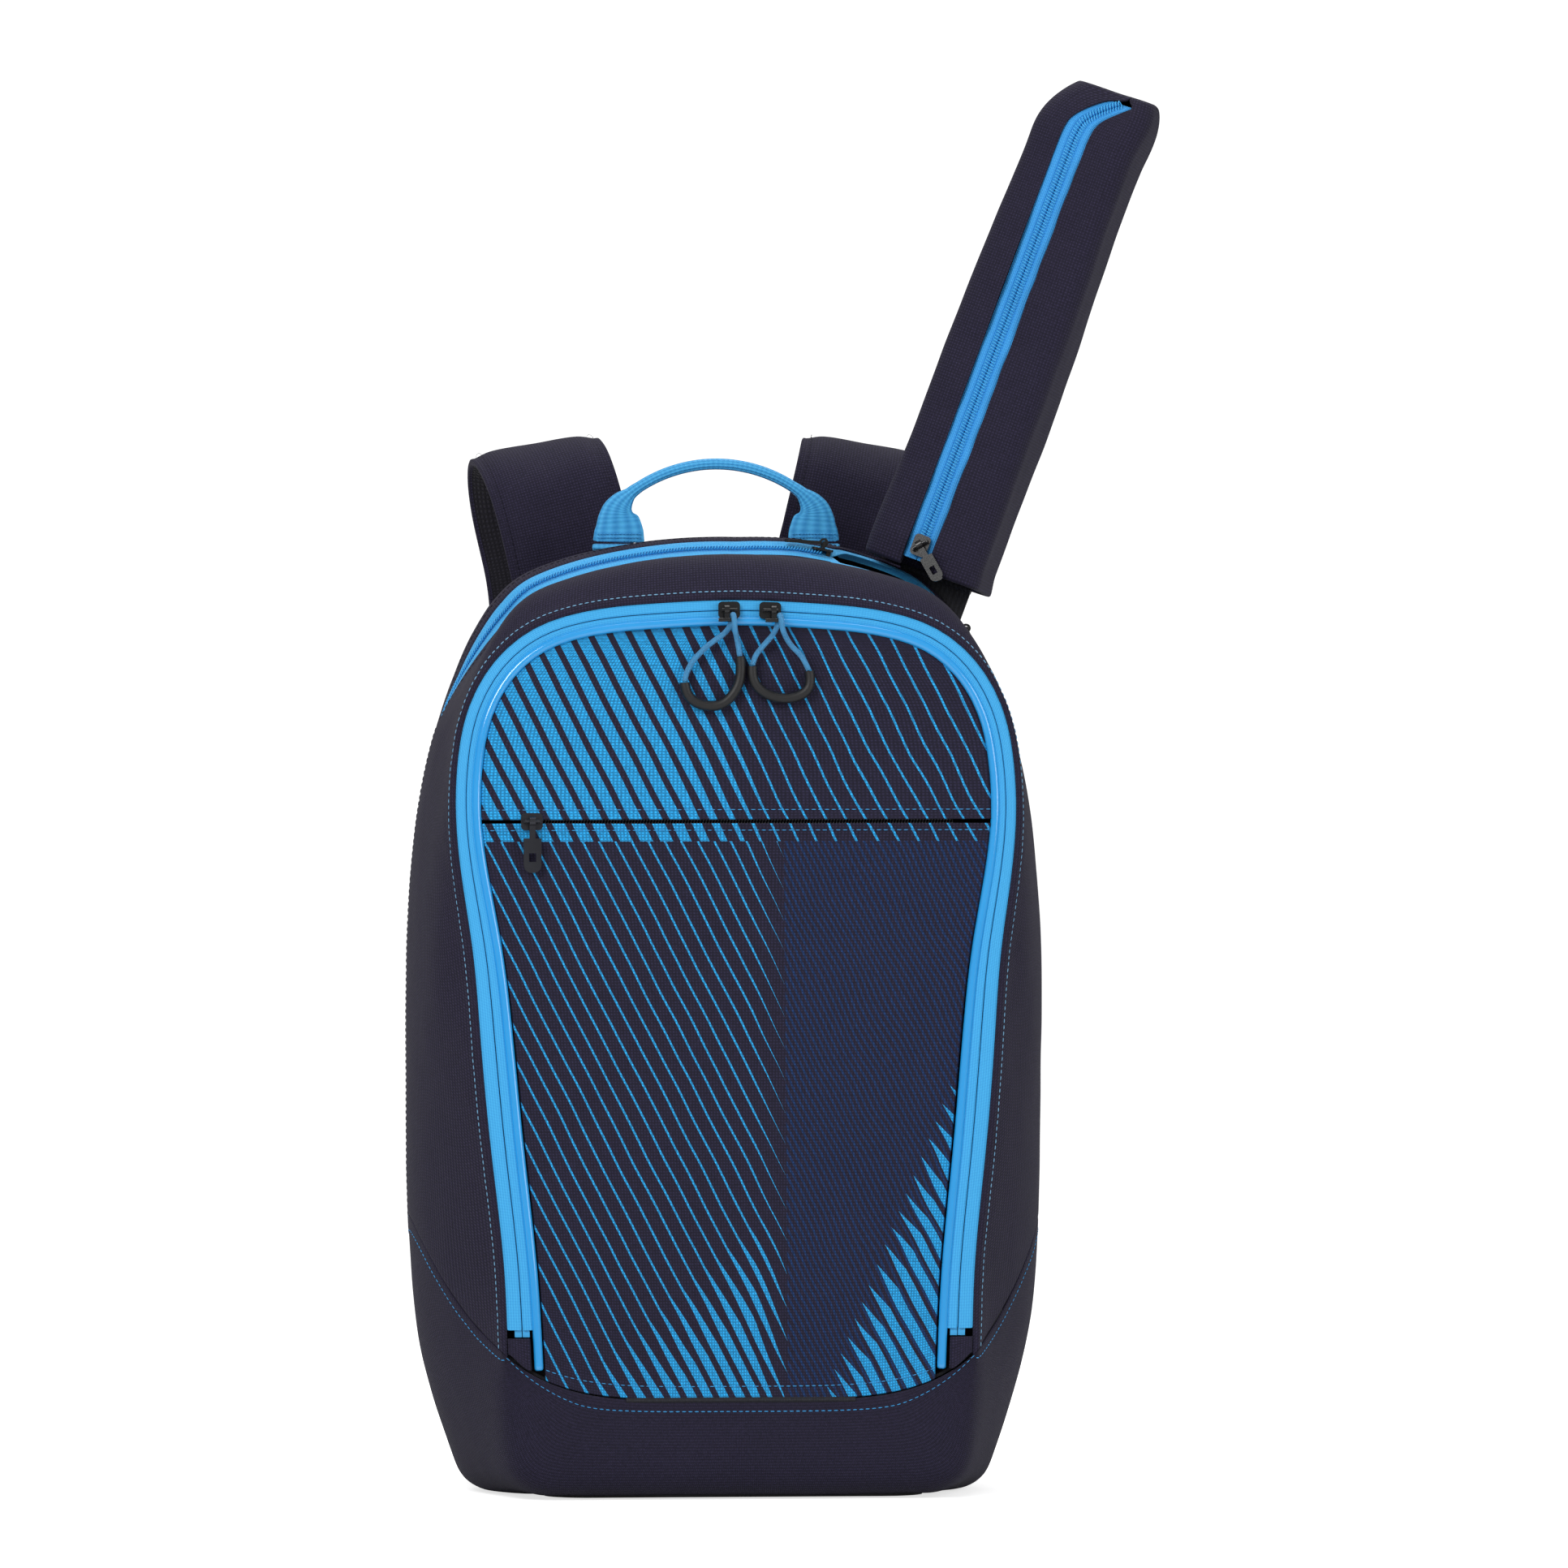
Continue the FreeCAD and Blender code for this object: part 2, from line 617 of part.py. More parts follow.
pouch_y = stash_tape_y + tape_thickness + seam_gap
pouch_half = stash_reach - 12
pouch_low, pouch_high = stash_low - stash_drop, stash_zip_z + tape_reach + 2
pouch_skin = 0.8
pouch_front = pouch_y - tape_thickness - 0.2
pouch = leaning_block(-pouch_half, pouch_half, pouch_front, stash_depth + pouch_y - pouch_front,
                      pouch_low, pouch_high)
pouch_room = leaning_block(-pouch_half + pouch_skin, pouch_half - pouch_skin, pouch_front - pouch_skin,
                           stash_depth + pouch_y - pouch_front, pouch_low + pouch_skin,
                           pouch_high - pouch_skin)
tape_room = leaning_block(-stash_reach - 1, stash_reach + 1, 0, pouch_y, stash_zip_z - tape_reach - 1,
                          stash_zip_z + tape_reach + 1)
slider_side = slider_width / 2 + seam_gap
slider_depth = pouch_y + slider_gap + slider_plate + seam_gap
slider_room = leaning_block(-stash_reach - 1, stash_reach + 1, 0, slider_depth,
                            stash_zip_z - slider_side, stash_zip_z + slider_side)
save("stash_pouch", pouch.cut([pouch_room, tape_room, slider_room]))

# ---- sliders and pulls on the bag ---------------------------------------------------------
Y_AXIS = V(0, 1, 0)
plane_out = V(0, -1, front_lean).normalize()
plane_up = V(0, front_lean, 1).normalize()


def arc_frame(arch, index, angle, y, nose):
    """Frame on an arch in an upright plane: X along the zip towards the nose, Z outwards."""
    x, z = arch.on_arc(index, angle)
    along = V(math.cos(angle) * nose, 0, -math.sin(angle) * nose)
    return frame_at(V(x, y, z), along, V(math.sin(angle), 0, math.cos(angle)))


def turned(direction, axis, degrees):
    return FreeCAD.Rotation(axis, degrees).multVec(direction)


def show(label, *values):
    """Print places and directions that the joints are set from."""
    print("  " + label, *[tuple(round(c, 6) for c in value) if hasattr(value, "x") else value
                          for value in values])


main_coil_shift = V(0, 0, -coil_middle)
main_pull = flat_pull(main_pull_length, main_pull_width, 3.0, main_pull_length / 5)
coil_seat = FreeCAD.Placement(main_coil_shift, FreeCAD.Rotation())
main_seats = (("left", 0, left_slider_angle, left_slider_end, 1),
              ("right", 2, right_slider_angle, right_slider_end, -1))
for side_name, index, angle, end_angle, nose in main_seats:
    seat = arc_frame(main_arch, index, angle, zip_y, nose)
    save("main_slider_" + side_name, placed(normal_slider, seat.multiply(coil_seat)))
    hinge_point = seat.multVec(bar_place + main_coil_shift)
    away = seat.Rotation.multVec(V(-1, 0, 0))
    outwards = seat.Rotation.multVec(V(0, 0, 1))
    hang = turned(away, Y_AXIS, nose * -main_pull_droop)
    save("main_pull_" + side_name, placed(main_pull, frame_at(hinge_point, hang, outwards)))
    show("pivot", hinge_point, "centre", main_arch.centres[index], "travel",
         round(math.degrees(abs(end_angle - angle)), 2))

reverse_out = front_coil_y + coil_thickness / 2 + piping_radius - piping_y + slider_gap
front_slider, front_bar = zip_slider(reverse_out, plate_gap, 0)


def cord_tab():
    """Small tab with a round cross bar that the cord is hitched to, hanging along local X."""
    half = pull_thickness / 2
    bore = bail_radius + pull_clearance
    eye = Part.makeCylinder(eye_radius, tab_neck, V(0, -tab_neck / 2, 0), V(0, 1, 0))
    stem = block(0, tab_length, -tab_neck / 2, tab_neck / 2, -half, half)
    cross_bar = rod(V(tab_length, -tab_bar_half, 0), V(tab_length, tab_bar_half, 0), tab_bar_radius)
    hole = Part.makeCylinder(bore, 2 * tab_bar_half, V(0, -tab_bar_half, 0), V(0, 1, 0))
    return eye.fuse([stem, cross_bar]).cut(hole).removeSplitter()


def tube(points, radius):
    """Tube along straight runs joined by tangent arcs, each as large as its two runs allow."""
    edges = []
    start = points[0]
    radii = []
    for before, corner, after in zip(points, points[1:], points[2:]):
        back, ahead = before - corner, after - corner
        half_turn = (math.pi - back.getAngle(ahead)) / 2
        reach = 0.45 * min(back.Length, ahead.Length)
        radii.append(round(reach / math.tan(half_turn), 1))
        first = corner + V(back).normalize() * reach
        last = corner + V(ahead).normalize() * reach
        bisector = (V(back).normalize() + V(ahead).normalize()).normalize()
        bend = reach / math.tan(half_turn)
        middle = corner + bisector * (math.hypot(bend, reach) - bend)
        edges.append(Part.LineSegment(start, first).toShape())
        edges.append(Part.Arc(first, middle, last).toShape())
        start = last
    edges.append(Part.LineSegment(start, points[-1]).toShape())
    wire = Part.Wire(edges)
    profile = Part.Wire([Part.makeCircle(radius, points[0], points[1] - points[0])])
    solid = wire.makePipeShell([profile], True, False)
    ratio = solid.Volume / (math.pi * radius ** 2 * wire.Length)
    show("tube length", round(wire.Length, 1), "volume ratio", round(ratio, 3), "radii", radii)
    return solid


# Routes of the cord loops and their grips: right, up and out from the hitch on the cross bar. Out
# is counted from the front plane, or says on which side of the bar the cord passes.
wrap = tab_bar_radius + cord_radius + 0.15
bar_sides = {"behind": -wrap, "before": wrap}
beside = tab_neck / 2 + cord_radius + 0.2
cord_routes = {
    "left": [(-21.4, -31.5, 3.2), (-20.6, -24.5, 3.2), (-10.5, -13.0, 3.4), (1.2, -5.5, "behind"),
             (beside, wrap, "behind"), (beside + 0.4, wrap, "before"), (3.6, -5.0, "before"),
             (5.6, -11.5, 4.6), (6.8, -18.5, 3.2)],
    "right": [(-10.8, -23.0, 3.2), (-9.8, -18.0, 3.2), (-5.2, -12.5, 3.6), (1.2, -5.5, "behind"),
              (beside, wrap, "behind"), (beside + 0.4, wrap, "before"), (3.8, -5.0, "before"),
              (8.4, -12.5, 4.6), (15.2, -18.5, 3.2), (18.0, -25.5, 3.2)],
}
grip_routes = {
    "left": [(-21.4, -31.5), (-21.0, -37.5), (-13.5, -43.2), (-2.5, -43.4), (5.0, -35.5), (7.6, -26.0),
             (6.8, -18.5)],
    "right": [(-10.8, -23.0), (-11.3, -29.5), (-5.5, -36.6), (4.5, -39.8), (14.5, -37.8), (19.2, -32.0),
              (18.0, -25.5)],
}
front_y_middle = front_coil_y + coil_thickness / 2
tab_shifts = {"left": -1.5, "right": 1.5}
for side_name, slider_x, nose in (("left", left_front_x, 1), ("right", right_front_x, -1)):
    slider_angle = math.asin(slider_x / front_crown.radii[0])
    x, z = front_crown.on_arc(0, slider_angle)
    along = (V(math.cos(slider_angle), 0, 0) - plane_up * math.sin(slider_angle)) * nose
    seat = frame_at(V(x, front_y(z) + front_y_middle, z), along, plane_out)
    save("front_slider_" + side_name, placed(front_slider, seat))
    bar_centre = seat.multVec(front_bar)
    tab_pivot = bar_centre + V(tab_shifts[side_name], 0, -tab_shifts[side_name] * math.sin(slider_angle))
    hang = turned(plane_up * -1, V(1, 0, 0), -tab_tilt)
    save("front_tab_" + side_name, placed(cord_tab(), frame_at(tab_pivot, hang, plane_out)))
    hitch = tab_pivot + hang * tab_length
    hitch_out = (hitch - V(0, front_y(hitch.z), hitch.z)).dot(plane_out)

    def on_panel(right, up, out):
        depth = hitch_out + bar_sides[out] if out in bar_sides else out
        return hitch + V(right, 0, 0) + plane_up * up + plane_out * (depth - hitch_out)

    cord_points = [on_panel(*place) for place in cord_routes[side_name]]
    for end, beyond in ((0, 1), (-1, -2)):
        cord_points[end] += (cord_points[beyond] - cord_points[end]).normalize() * cord_end_gap
    grip_points = [on_panel(right, up, 3.2) for right, up in grip_routes[side_name]]
    save("front_cord_" + side_name, tube(cord_points, cord_radius))
    save("front_grip_" + side_name, tube(grip_points, grip_radius))
    show("hitch", hitch, "pivot", tab_pivot)

stash_middle = stash_coil_y + coil_thickness / 2
stash_out = stash_middle - panel_y + slider_gap
stash_in = stash_tape_y + tape_thickness - stash_middle + slider_gap
stash_slider, stash_bar = zip_slider(stash_out, stash_in, 0)
stash_at = V(stash_slider_x, front_y(stash_zip_z) + stash_middle, stash_zip_z)
stash_seat = frame_at(stash_at, V(-1, 0, 0), plane_out)
stash_pivot = stash_seat.multVec(stash_bar)
save("stash_slider", placed(stash_slider, stash_seat))
stash_hang = turned(plane_up * -1, V(1, 0, 0), stash_pull_droop)
stash_pull = flat_pull(stash_pull_length, stash_pull_width, pull_neck, stash_pull_length / 6)
save("stash_pull", placed(stash_pull, frame_at(stash_pivot, stash_hang, plane_out)))
show("stash pivot", stash_pivot)

# ---- racket-handle hood -------------------------------------------------------------------
lean, turn = math.radians(hood_lean), math.radians(hood_turn)
hood_up = V(math.sin(lean), 0, math.cos(lean))
hood_right0 = V(math.cos(lean), 0, -math.sin(lean))
hood_right = hood_right0 * math.cos(turn) - Y_AXIS * math.sin(turn)
hood_back = Y_AXIS * math.cos(turn) + hood_right0 * math.sin(turn)
hood_base = V(mouth_centre_x + hood_base_right, zip_y + 1, body_top - hood_base_drop)
hood_frame = frame_at(hood_base, hood_right, hood_up)


def hood_section(width, depth, height, shift, corner, inset):
    """Rounded rectangle across the hood, in the hood's own frame."""
    x, y = width / 2 - inset, depth / 2 - inset
    points = [V(shift + sx * x, sy * y, height) for sx, sy in ((-1, -1), (1, -1), (1, 1), (-1, 1))]
    radius = max(corner - inset, 1.0)
    edges = []
    for i in range(4):
        a, b, c = points[i - 1], points[i], points[(i + 1) % 4]
        before = b + (a - b).normalize() * radius
        after = b + (c - b).normalize() * radius
        middle = b + ((before + after) * 0.5 - b) * (2 - math.sqrt(2))
        edges.append(Part.Arc(before, middle, after).toShape())
        following = c + (b - c).normalize() * radius
        edges.append(Part.LineSegment(after, following).toShape())
    return Part.Wire(edges)


def hood_form(inset):
    top = hood_length - inset
    wires = [
        hood_section(hood_width, hood_depth, -inset, 0, hood_corner, inset),
        hood_section(hood_top_width, hood_top_depth, hood_shoulder, 0, hood_corner, inset),
        hood_section(hood_tip_width, hood_tip_depth, top, hood_tip_shift, hood_corner, inset),
    ]
    return Part.makeLoft(wires, True, True)


def hood_front_y(height):
    return -(hood_depth + (hood_top_depth - hood_depth) * height / hood_shoulder) / 2


def hood_strip(x0, x1, y_offset, thickness, z0, z1):
    """Strip that follows the hood's sloping front face."""
    corners = [V(x0, hood_front_y(z) + y_offset, z) for z in (z0, z1)]
    across = [V(x1, point.y, point.z) for point in corners]
    wire = Part.makePolygon([corners[0], across[0], across[1], corners[1], corners[0]])
    return Part.Face(wire).extrude(V(0, thickness, 0))


zip_left, zip_right = hood_zip_offset - half_zip, hood_zip_offset + half_zip
zip_window = hood_strip(zip_left, zip_right, -5, 12, -20, hood_zip_end)
hood_roll_at = V(0, hood_depth / 2 - hood_tilt_roll / 2, 0)
hood_roll_half = 0.32 * hood_width
roll_end = V(hood_roll_half, 0, 0)
hood_roll = rod(hood_roll_at - roll_end, hood_roll_at + roll_end, hood_tilt_roll)
roll_clearance = rod(hood_roll_at - V(far, 0, 0), hood_roll_at + V(far, 0, 0), hood_tilt_roll + seam_gap)
hood_shell = hood_form(0).cut([hood_form(wall), zip_window, roll_clearance])
save("hood_shell", placed(hood_shell, hood_frame))
hood_tapes = [hood_strip(x0, x1, tape_sink, tape_thickness, hood_zip_start - 4, hood_zip_end - edge_gap)
              for x0, x1 in ((zip_left + edge_gap, hood_zip_offset - coil_half - edge_gap),
                             (hood_zip_offset + coil_half + edge_gap, zip_right - edge_gap))]
save("hood_zip_tape", *[placed(tape, hood_frame) for tape in hood_tapes])
hood_coil_start = hood_zip_start + slider_length / 2 - nose_gap
hood_coils = [hood_strip(x0, x1, coil_out, coil_thickness, hood_coil_start, hood_zip_end - 1)
              for x0, x1 in ((hood_zip_offset - coil_half, hood_zip_offset - edge_gap),
                             (hood_zip_offset + edge_gap, hood_zip_offset + coil_half))]
save("hood_zip_coil", *[placed(coil, hood_frame) for coil in hood_coils])

slope = V(0, hood_front_y(hood_shoulder) - hood_front_y(0), hood_shoulder).normalize()
face_out = V(0, -slope.z, slope.y)
slider_height = hood_zip_start + slider_length / 2
slider_at = V(hood_zip_offset, hood_front_y(slider_height) + coil_middle, slider_height)
hood_slider_seat = hood_frame.multiply(frame_at(slider_at, slope * -1, face_out))
hood_slider, hood_bar = zip_slider(plate_gap, plate_gap, 90 + hood_pull_turn)
save("hood_slider", placed(hood_slider, hood_slider_seat))
hood_pull_pivot = hood_slider_seat.multVec(hood_bar)
hood_face_out = hood_frame.Rotation.multVec(face_out)
hood_down = hood_frame.Rotation.multVec(slope * -1)
hood_pull_way = turned(hood_down, hood_face_out, hood_pull_turn)
hood_pull = flat_pull(hood_pull_length, hood_pull_width, 3.0, hood_pull_length / 5)
save("hood_pull", placed(hood_pull, frame_at(hood_pull_pivot, hood_pull_way, hood_face_out)))

flange_sheet = block(-hood_roll_half, hood_roll_half, hood_roll_at.y - 0.8, hood_roll_at.y + 0.8, -60, 0)
flange = placed(flange_sheet, hood_frame).fuse(placed(hood_roll, hood_frame)).cut(outer_form)
save("hood_flange", flange)
show("hood roll", hood_frame.multVec(hood_roll_at), "axis", hood_right * -1)
show("hood travel", hood_down * -1)
show("hood pull pivot", hood_pull_pivot, "axis", hood_pull_way.cross(hood_face_out))

# ---- haul handle --------------------------------------------------------------------------
handle_axis_z = main_arch.on_arc(0, math.asin(handle_spread / crown_radius))[1] + handle_roll + seam_gap
neck_z = handle_axis_z + handle_neck_rise
crest_z = handle_axis_z + handle_rise
neck_run, neck_climb = handle_neck_x, crest_z - neck_z
bow_radius = (neck_run ** 2 + neck_climb ** 2) / (2 * neck_climb)
bow_angle = math.asin(neck_run / bow_radius)
neck = V(-handle_neck_x, handle_y, neck_z)
bow = Part.Arc(neck, V(0, handle_y, crest_z), V(handle_neck_x, handle_y, neck_z))
bow_wire = Part.Wire([bow.toShape()])
bow_start = V(math.cos(bow_angle), 0, math.sin(bow_angle))
bow_ring = Part.Wire([Part.makeCircle(handle_radius, neck, bow_start)])
bow_tube = bow_wire.makePipeShell([bow_ring], True, False)


def oval(centre, across, half_wide, half_thin):
    """Flat oval section whose wide way lies along across, in the upright plane of the handle."""
    ellipse = Part.Ellipse(V(0, 0, 0), half_wide, half_thin)
    shape = Part.Wire([ellipse.toShape()])
    return placed(shape, frame_at(centre, across, Y_AXIS.cross(across)))


def handle_end():
    """Webbing that fans out flat from the rolled bow down to its sewn end."""
    foot = V(-handle_spread, handle_y, handle_axis_z)
    across_neck = V(bow_start.z, 0, -bow_start.x)
    sections = [
        oval(foot, V(1, 0, 0), handle_width / 2, handle_flat),
        oval(foot + V(0, 0, 0.55 * handle_neck_rise), V(1, 0, 0), 0.4 * handle_width, 1.5 * handle_flat),
        oval(neck + bow_start * handle_radius, across_neck * -1, 0.94 * handle_radius, 0.9 * handle_radius),
    ]
    return Part.makeLoft(sections, True, False)


left_end = handle_end()
handle_room = rod(V(-far, handle_y, handle_axis_z), V(far, handle_y, handle_axis_z), handle_roll + seam_gap)
handle = bow_tube.fuse([left_end, mirrored(left_end)]).cut(handle_room)
save("haul_handle", handle)


def handle_anchor():
    """Rolled and stitched end that holds the handle to the top of the gusset."""
    low, high = -handle_spread - handle_width / 2, -handle_spread + handle_width / 2
    roll = rod(V(low, handle_y, handle_axis_z), V(high, handle_y, handle_axis_z), handle_roll)
    patch = block(low, high, handle_y - handle_patch / 2, handle_y + handle_patch / 2,
                  0.9 * body_top, handle_axis_z - handle_roll / 2)
    return roll.fuse(patch).cut(outer_form).removeSplitter()


left_anchor = handle_anchor()
save("handle_anchors", left_anchor, mirrored(left_anchor))
show("handle axis", handle_y, handle_axis_z)

# ---- shoulder straps ----------------------------------------------------------------------
seam_y = back_y + yoke_thickness + strap_roll + seam_gap
strap_seam = V(-strap_root_x, seam_y, strap_seam_z)
seam_turn = FreeCAD.Rotation(V(0, 1, 0), -strap_seam_lean)
seam_frame = FreeCAD.Placement(strap_seam, seam_turn)


def padded_section(centre, tangent, lean_angle, width, thickness):
    """Six corners of a padded strap's section: flat in the middle and bevelled at both edges."""
    lean_turn = math.radians(lean_angle)
    across = V(math.cos(lean_turn), 0, math.sin(lean_turn))
    across = (across - tangent * across.dot(tangent)).normalize()
    normal = tangent.cross(across)
    half, thin = width / 2, thickness / 2
    flat = half - 0.4 * thickness
    corners = [(-half, 0), (-flat, thin), (flat, thin), (half, 0), (flat, -thin), (-flat, -thin)]
    return [centre + across * x + normal * n for x, n in corners]


def padded_ribbon(stations):
    """Padded ribbon through stations of centre, lean of its width, width and thickness."""
    count = 3 * (len(stations) - 1)
    curve = Part.BSplineCurve()
    curve.interpolate([place for place, lean_angle, width, thickness in stations])
    knots = curve.getKnots()
    rings = []
    for i in range(count + 1):
        index, step = divmod(i, 3)
        share = step / 3
        first = stations[index]
        following = stations[min(index + 1, len(stations) - 1)]
        start, stop = knots[index], knots[min(index + 1, len(knots) - 1)]
        at = start + (stop - start) * share
        sizes = [a + (b - a) * share for a, b in zip(first[1:], following[1:])]
        rings.append(padded_section(curve.value(at), V(*curve.tangent(at)[0]), *sizes))
    faces = [Part.Face(Part.makePolygon(ring + [ring[0]])) for ring in (rings[0], rings[-1])]
    for ring, above_ring in zip(rings, rings[1:]):
        for i in range(6):
            j = (i + 1) % 6
            faces.append(Part.Face(Part.makePolygon([ring[i], ring[j], above_ring[j], ring[i]])))
            faces.append(Part.Face(Part.makePolygon([ring[i], above_ring[j], above_ring[i], ring[i]])))
    shell = Part.makeShell(faces)
    shell.sewShape()
    solid = Part.Solid(shell)
    if solid.Volume < 0:
        solid.reverse()
    return solid


# Middle of the left strap from its seam over the shoulder crest and down, as steps from the seam:
# right, back and up, the lean of its width in degrees, and its shares of full width and thickness.
strap_steps = [(-1, 0.6, 3.5, 15, 1.0, 0.35), (-7, 1.2, 30, 15, 1.0, 0.8), (-13, 7, 53, 14, 1.0, 1.0),
               (-18, 26, 70, 11, 1.0, 1.0), (-20, 50, 67, 7, 1.0, 1.0), (-17, 68, 44, 0, 1.0, 1.0),
               (-9, 74, 7, -3, 1.0, 1.0), (-7, 73, -53, 0, 1.0, 1.0), (-14, 66, -123, 4, 0.96, 1.0),
               (-29, 56, -193, 5, 0.88, 1.0), (-41, 49, -241, 0, 0.82, 0.8)]
strap_route = [(strap_seam + V(right, back, up), lean_angle, strap_width * wide, strap_thickness * thick)
               for right, back, up, lean_angle, wide, thick in strap_steps]
strap_end = strap_route[-1][0]
lock_top = strap_end + V(0, 0, -lock_drop)
loop_half = webbing_width / 2
left_strap = padded_ribbon(strap_route)
strap_roll_room = placed(rod(V(-far, 0, 0), V(far, 0, 0), strap_roll + seam_gap), seam_frame)
lock_loop = block(lock_top.x - loop_half, lock_top.x + loop_half, lock_top.y - 4, lock_top.y + 4,
                  lock_top.z - 4, strap_end.z + 4)
loop_bore = rod(lock_top - V(loop_half + 1, 0, 0), lock_top + V(loop_half + 1, 0, 0), lock_bar + seam_gap)
left_strap = left_strap.cut(strap_roll_room).fuse(lock_loop).cut(loop_bore)
save("shoulder_strap_left", left_strap)
save("shoulder_strap_right", mirrored(left_strap))


def yoke():
    """Bound panel over the strap ends, with the rolled seams that the straps hang from."""
    plate = main_plate(back_inset + yoke_margin, back_y + 0.2, back_y + yoke_thickness)
    plate = plate.common(slab_z(strap_seam_z - yoke_height, far + body_top))
    reach = strap_width / 2 - 2
    roll = rod(V(-reach, 0, 0), V(reach, 0, 0), strap_roll)
    web = block(-reach, reach, -strap_roll - 0.5, 0, -strap_roll, -strap_roll / 2)
    left_seam = placed(roll.fuse(web), seam_frame)
    return plate.fuse([left_seam, mirrored(left_seam)]).removeSplitter()


save("yoke", yoke())


def ladder_lock():
    """Plastic buckle: two rails with three round bars; the top bar sits in the strap's loop."""
    side = loop_half + 1 + lock_rail / 2
    bars = []
    rails = []
    for step in range(3):
        centre = lock_top - V(0, 0, step * lock_pitch)
        bars.append(rod(centre - V(side, 0, 0), centre + V(side, 0, 0), lock_bar))
    for x in (lock_top.x - side, lock_top.x + side):
        rail = block(x - lock_rail / 2, x + lock_rail / 2, lock_top.y - lock_depth / 2,
                     lock_top.y + lock_depth / 2, lock_top.z - 2 * lock_pitch - 3, lock_top.z + 3)
        rails.append(rail.makeFillet(1.2, rail.Edges))
    return bars[0].fuse(bars[1:] + rails).removeSplitter()


left_lock = ladder_lock()
save("ladder_lock_left", left_lock)
save("ladder_lock_right", mirrored(left_lock))


def lower_webbing():
    """Webbing from the base anchor up to the middle bar of the lock and down again as a tail."""
    bar = lock_top - V(0, 0, lock_pitch)
    inner = lock_bar + seam_gap
    outer = inner + webbing_thickness
    x0, x1 = bar.x - loop_half, bar.x + loop_half
    foot = V(x0, back_y + anchor_stand, anchor_z)
    run_top = V(x0, bar.y - (inner + outer) / 2, bar.z)
    direction = (run_top - foot).normalize()
    normal = V(0, direction.z, -direction.y) * (webbing_thickness / 2)
    run = Part.makePolygon([foot - normal, run_top - normal, run_top + normal, foot + normal, foot - normal])
    across = V(x1 - x0, 0, 0)
    run_solid = Part.Face(run).extrude(across)
    ring = Part.makeCylinder(outer, x1 - x0, V(x0, bar.y, bar.z), V(1, 0, 0))
    ring = ring.cut(Part.makeCylinder(inner, x1 - x0, V(x0, bar.y, bar.z), V(1, 0, 0)))
    wrap_part = ring.common(block(x0, x1, -far, far, bar.z, far))
    tail = block(x0, x1, bar.y + inner, bar.y + outer, bar.z - tail_length, bar.z)
    whole = wrap_part.fuse([run_solid, tail]).removeSplitter()
    low_bar_room = rod(bar - V(far, 0, lock_pitch), bar + V(far, 0, -lock_pitch), lock_bar + seam_gap / 2)
    bar_room = rod(bar - V(far, 0, 0), bar + V(far, 0, 0), lock_bar + seam_gap / 2)
    return whole.cut([low_bar_room, bar_room])


left_webbing = lower_webbing()
save("lower_webbing_left", left_webbing)
save("lower_webbing_right", mirrored(left_webbing))


def base_anchor():
    """Folded fabric wing sewn into the lower rear seam, holding the webbing's foot."""
    x = lock_top.x
    wing_rear = back_y + anchor_stand - webbing_thickness / 2 - 0.2
    wing = block(x - loop_half - 3, x + loop_half + 3, back_y + 0.2, wing_rear, anchor_z - 14, anchor_z + 14)
    return wing.makeFillet(1.0, [edge for edge in wing.Edges if edge.BoundBox.YLength > 1])


left_base_anchor = base_anchor()
save("strap_anchors", left_base_anchor, mirrored(left_base_anchor))
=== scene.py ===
# Racket backpack: the looks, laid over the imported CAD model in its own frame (metres, +Z up, -Y front).
import bmesh
import bpy
import json
import math
import numpy as np
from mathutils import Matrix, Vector, noise

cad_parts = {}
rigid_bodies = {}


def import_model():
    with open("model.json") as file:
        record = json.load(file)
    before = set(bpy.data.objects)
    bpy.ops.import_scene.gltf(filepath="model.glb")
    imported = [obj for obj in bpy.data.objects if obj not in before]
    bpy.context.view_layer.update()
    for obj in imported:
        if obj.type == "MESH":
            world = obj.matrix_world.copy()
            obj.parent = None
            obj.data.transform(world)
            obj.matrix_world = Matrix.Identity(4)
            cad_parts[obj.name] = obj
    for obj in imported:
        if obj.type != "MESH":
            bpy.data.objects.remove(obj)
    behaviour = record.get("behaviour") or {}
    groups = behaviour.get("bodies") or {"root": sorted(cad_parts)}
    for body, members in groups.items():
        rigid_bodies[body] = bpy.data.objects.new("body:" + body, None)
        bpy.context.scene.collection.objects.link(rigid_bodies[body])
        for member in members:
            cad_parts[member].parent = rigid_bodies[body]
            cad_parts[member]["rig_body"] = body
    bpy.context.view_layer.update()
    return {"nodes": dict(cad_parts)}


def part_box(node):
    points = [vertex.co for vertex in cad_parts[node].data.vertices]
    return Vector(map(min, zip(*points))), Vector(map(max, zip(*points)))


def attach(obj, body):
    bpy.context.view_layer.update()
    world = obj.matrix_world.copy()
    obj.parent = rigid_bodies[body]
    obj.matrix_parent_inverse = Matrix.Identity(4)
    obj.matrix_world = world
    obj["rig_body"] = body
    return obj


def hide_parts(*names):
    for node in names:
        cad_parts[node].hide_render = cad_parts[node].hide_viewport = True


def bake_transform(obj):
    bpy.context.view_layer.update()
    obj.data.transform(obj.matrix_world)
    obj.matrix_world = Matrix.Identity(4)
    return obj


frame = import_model()
MM = 0.001


# ---- sizes, in millimetres ----------------------------------------------------------------
def node_box(name):
    """Lowest and highest corners of a CAD node, in millimetres."""
    return [np.array(corner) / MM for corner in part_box(name)]


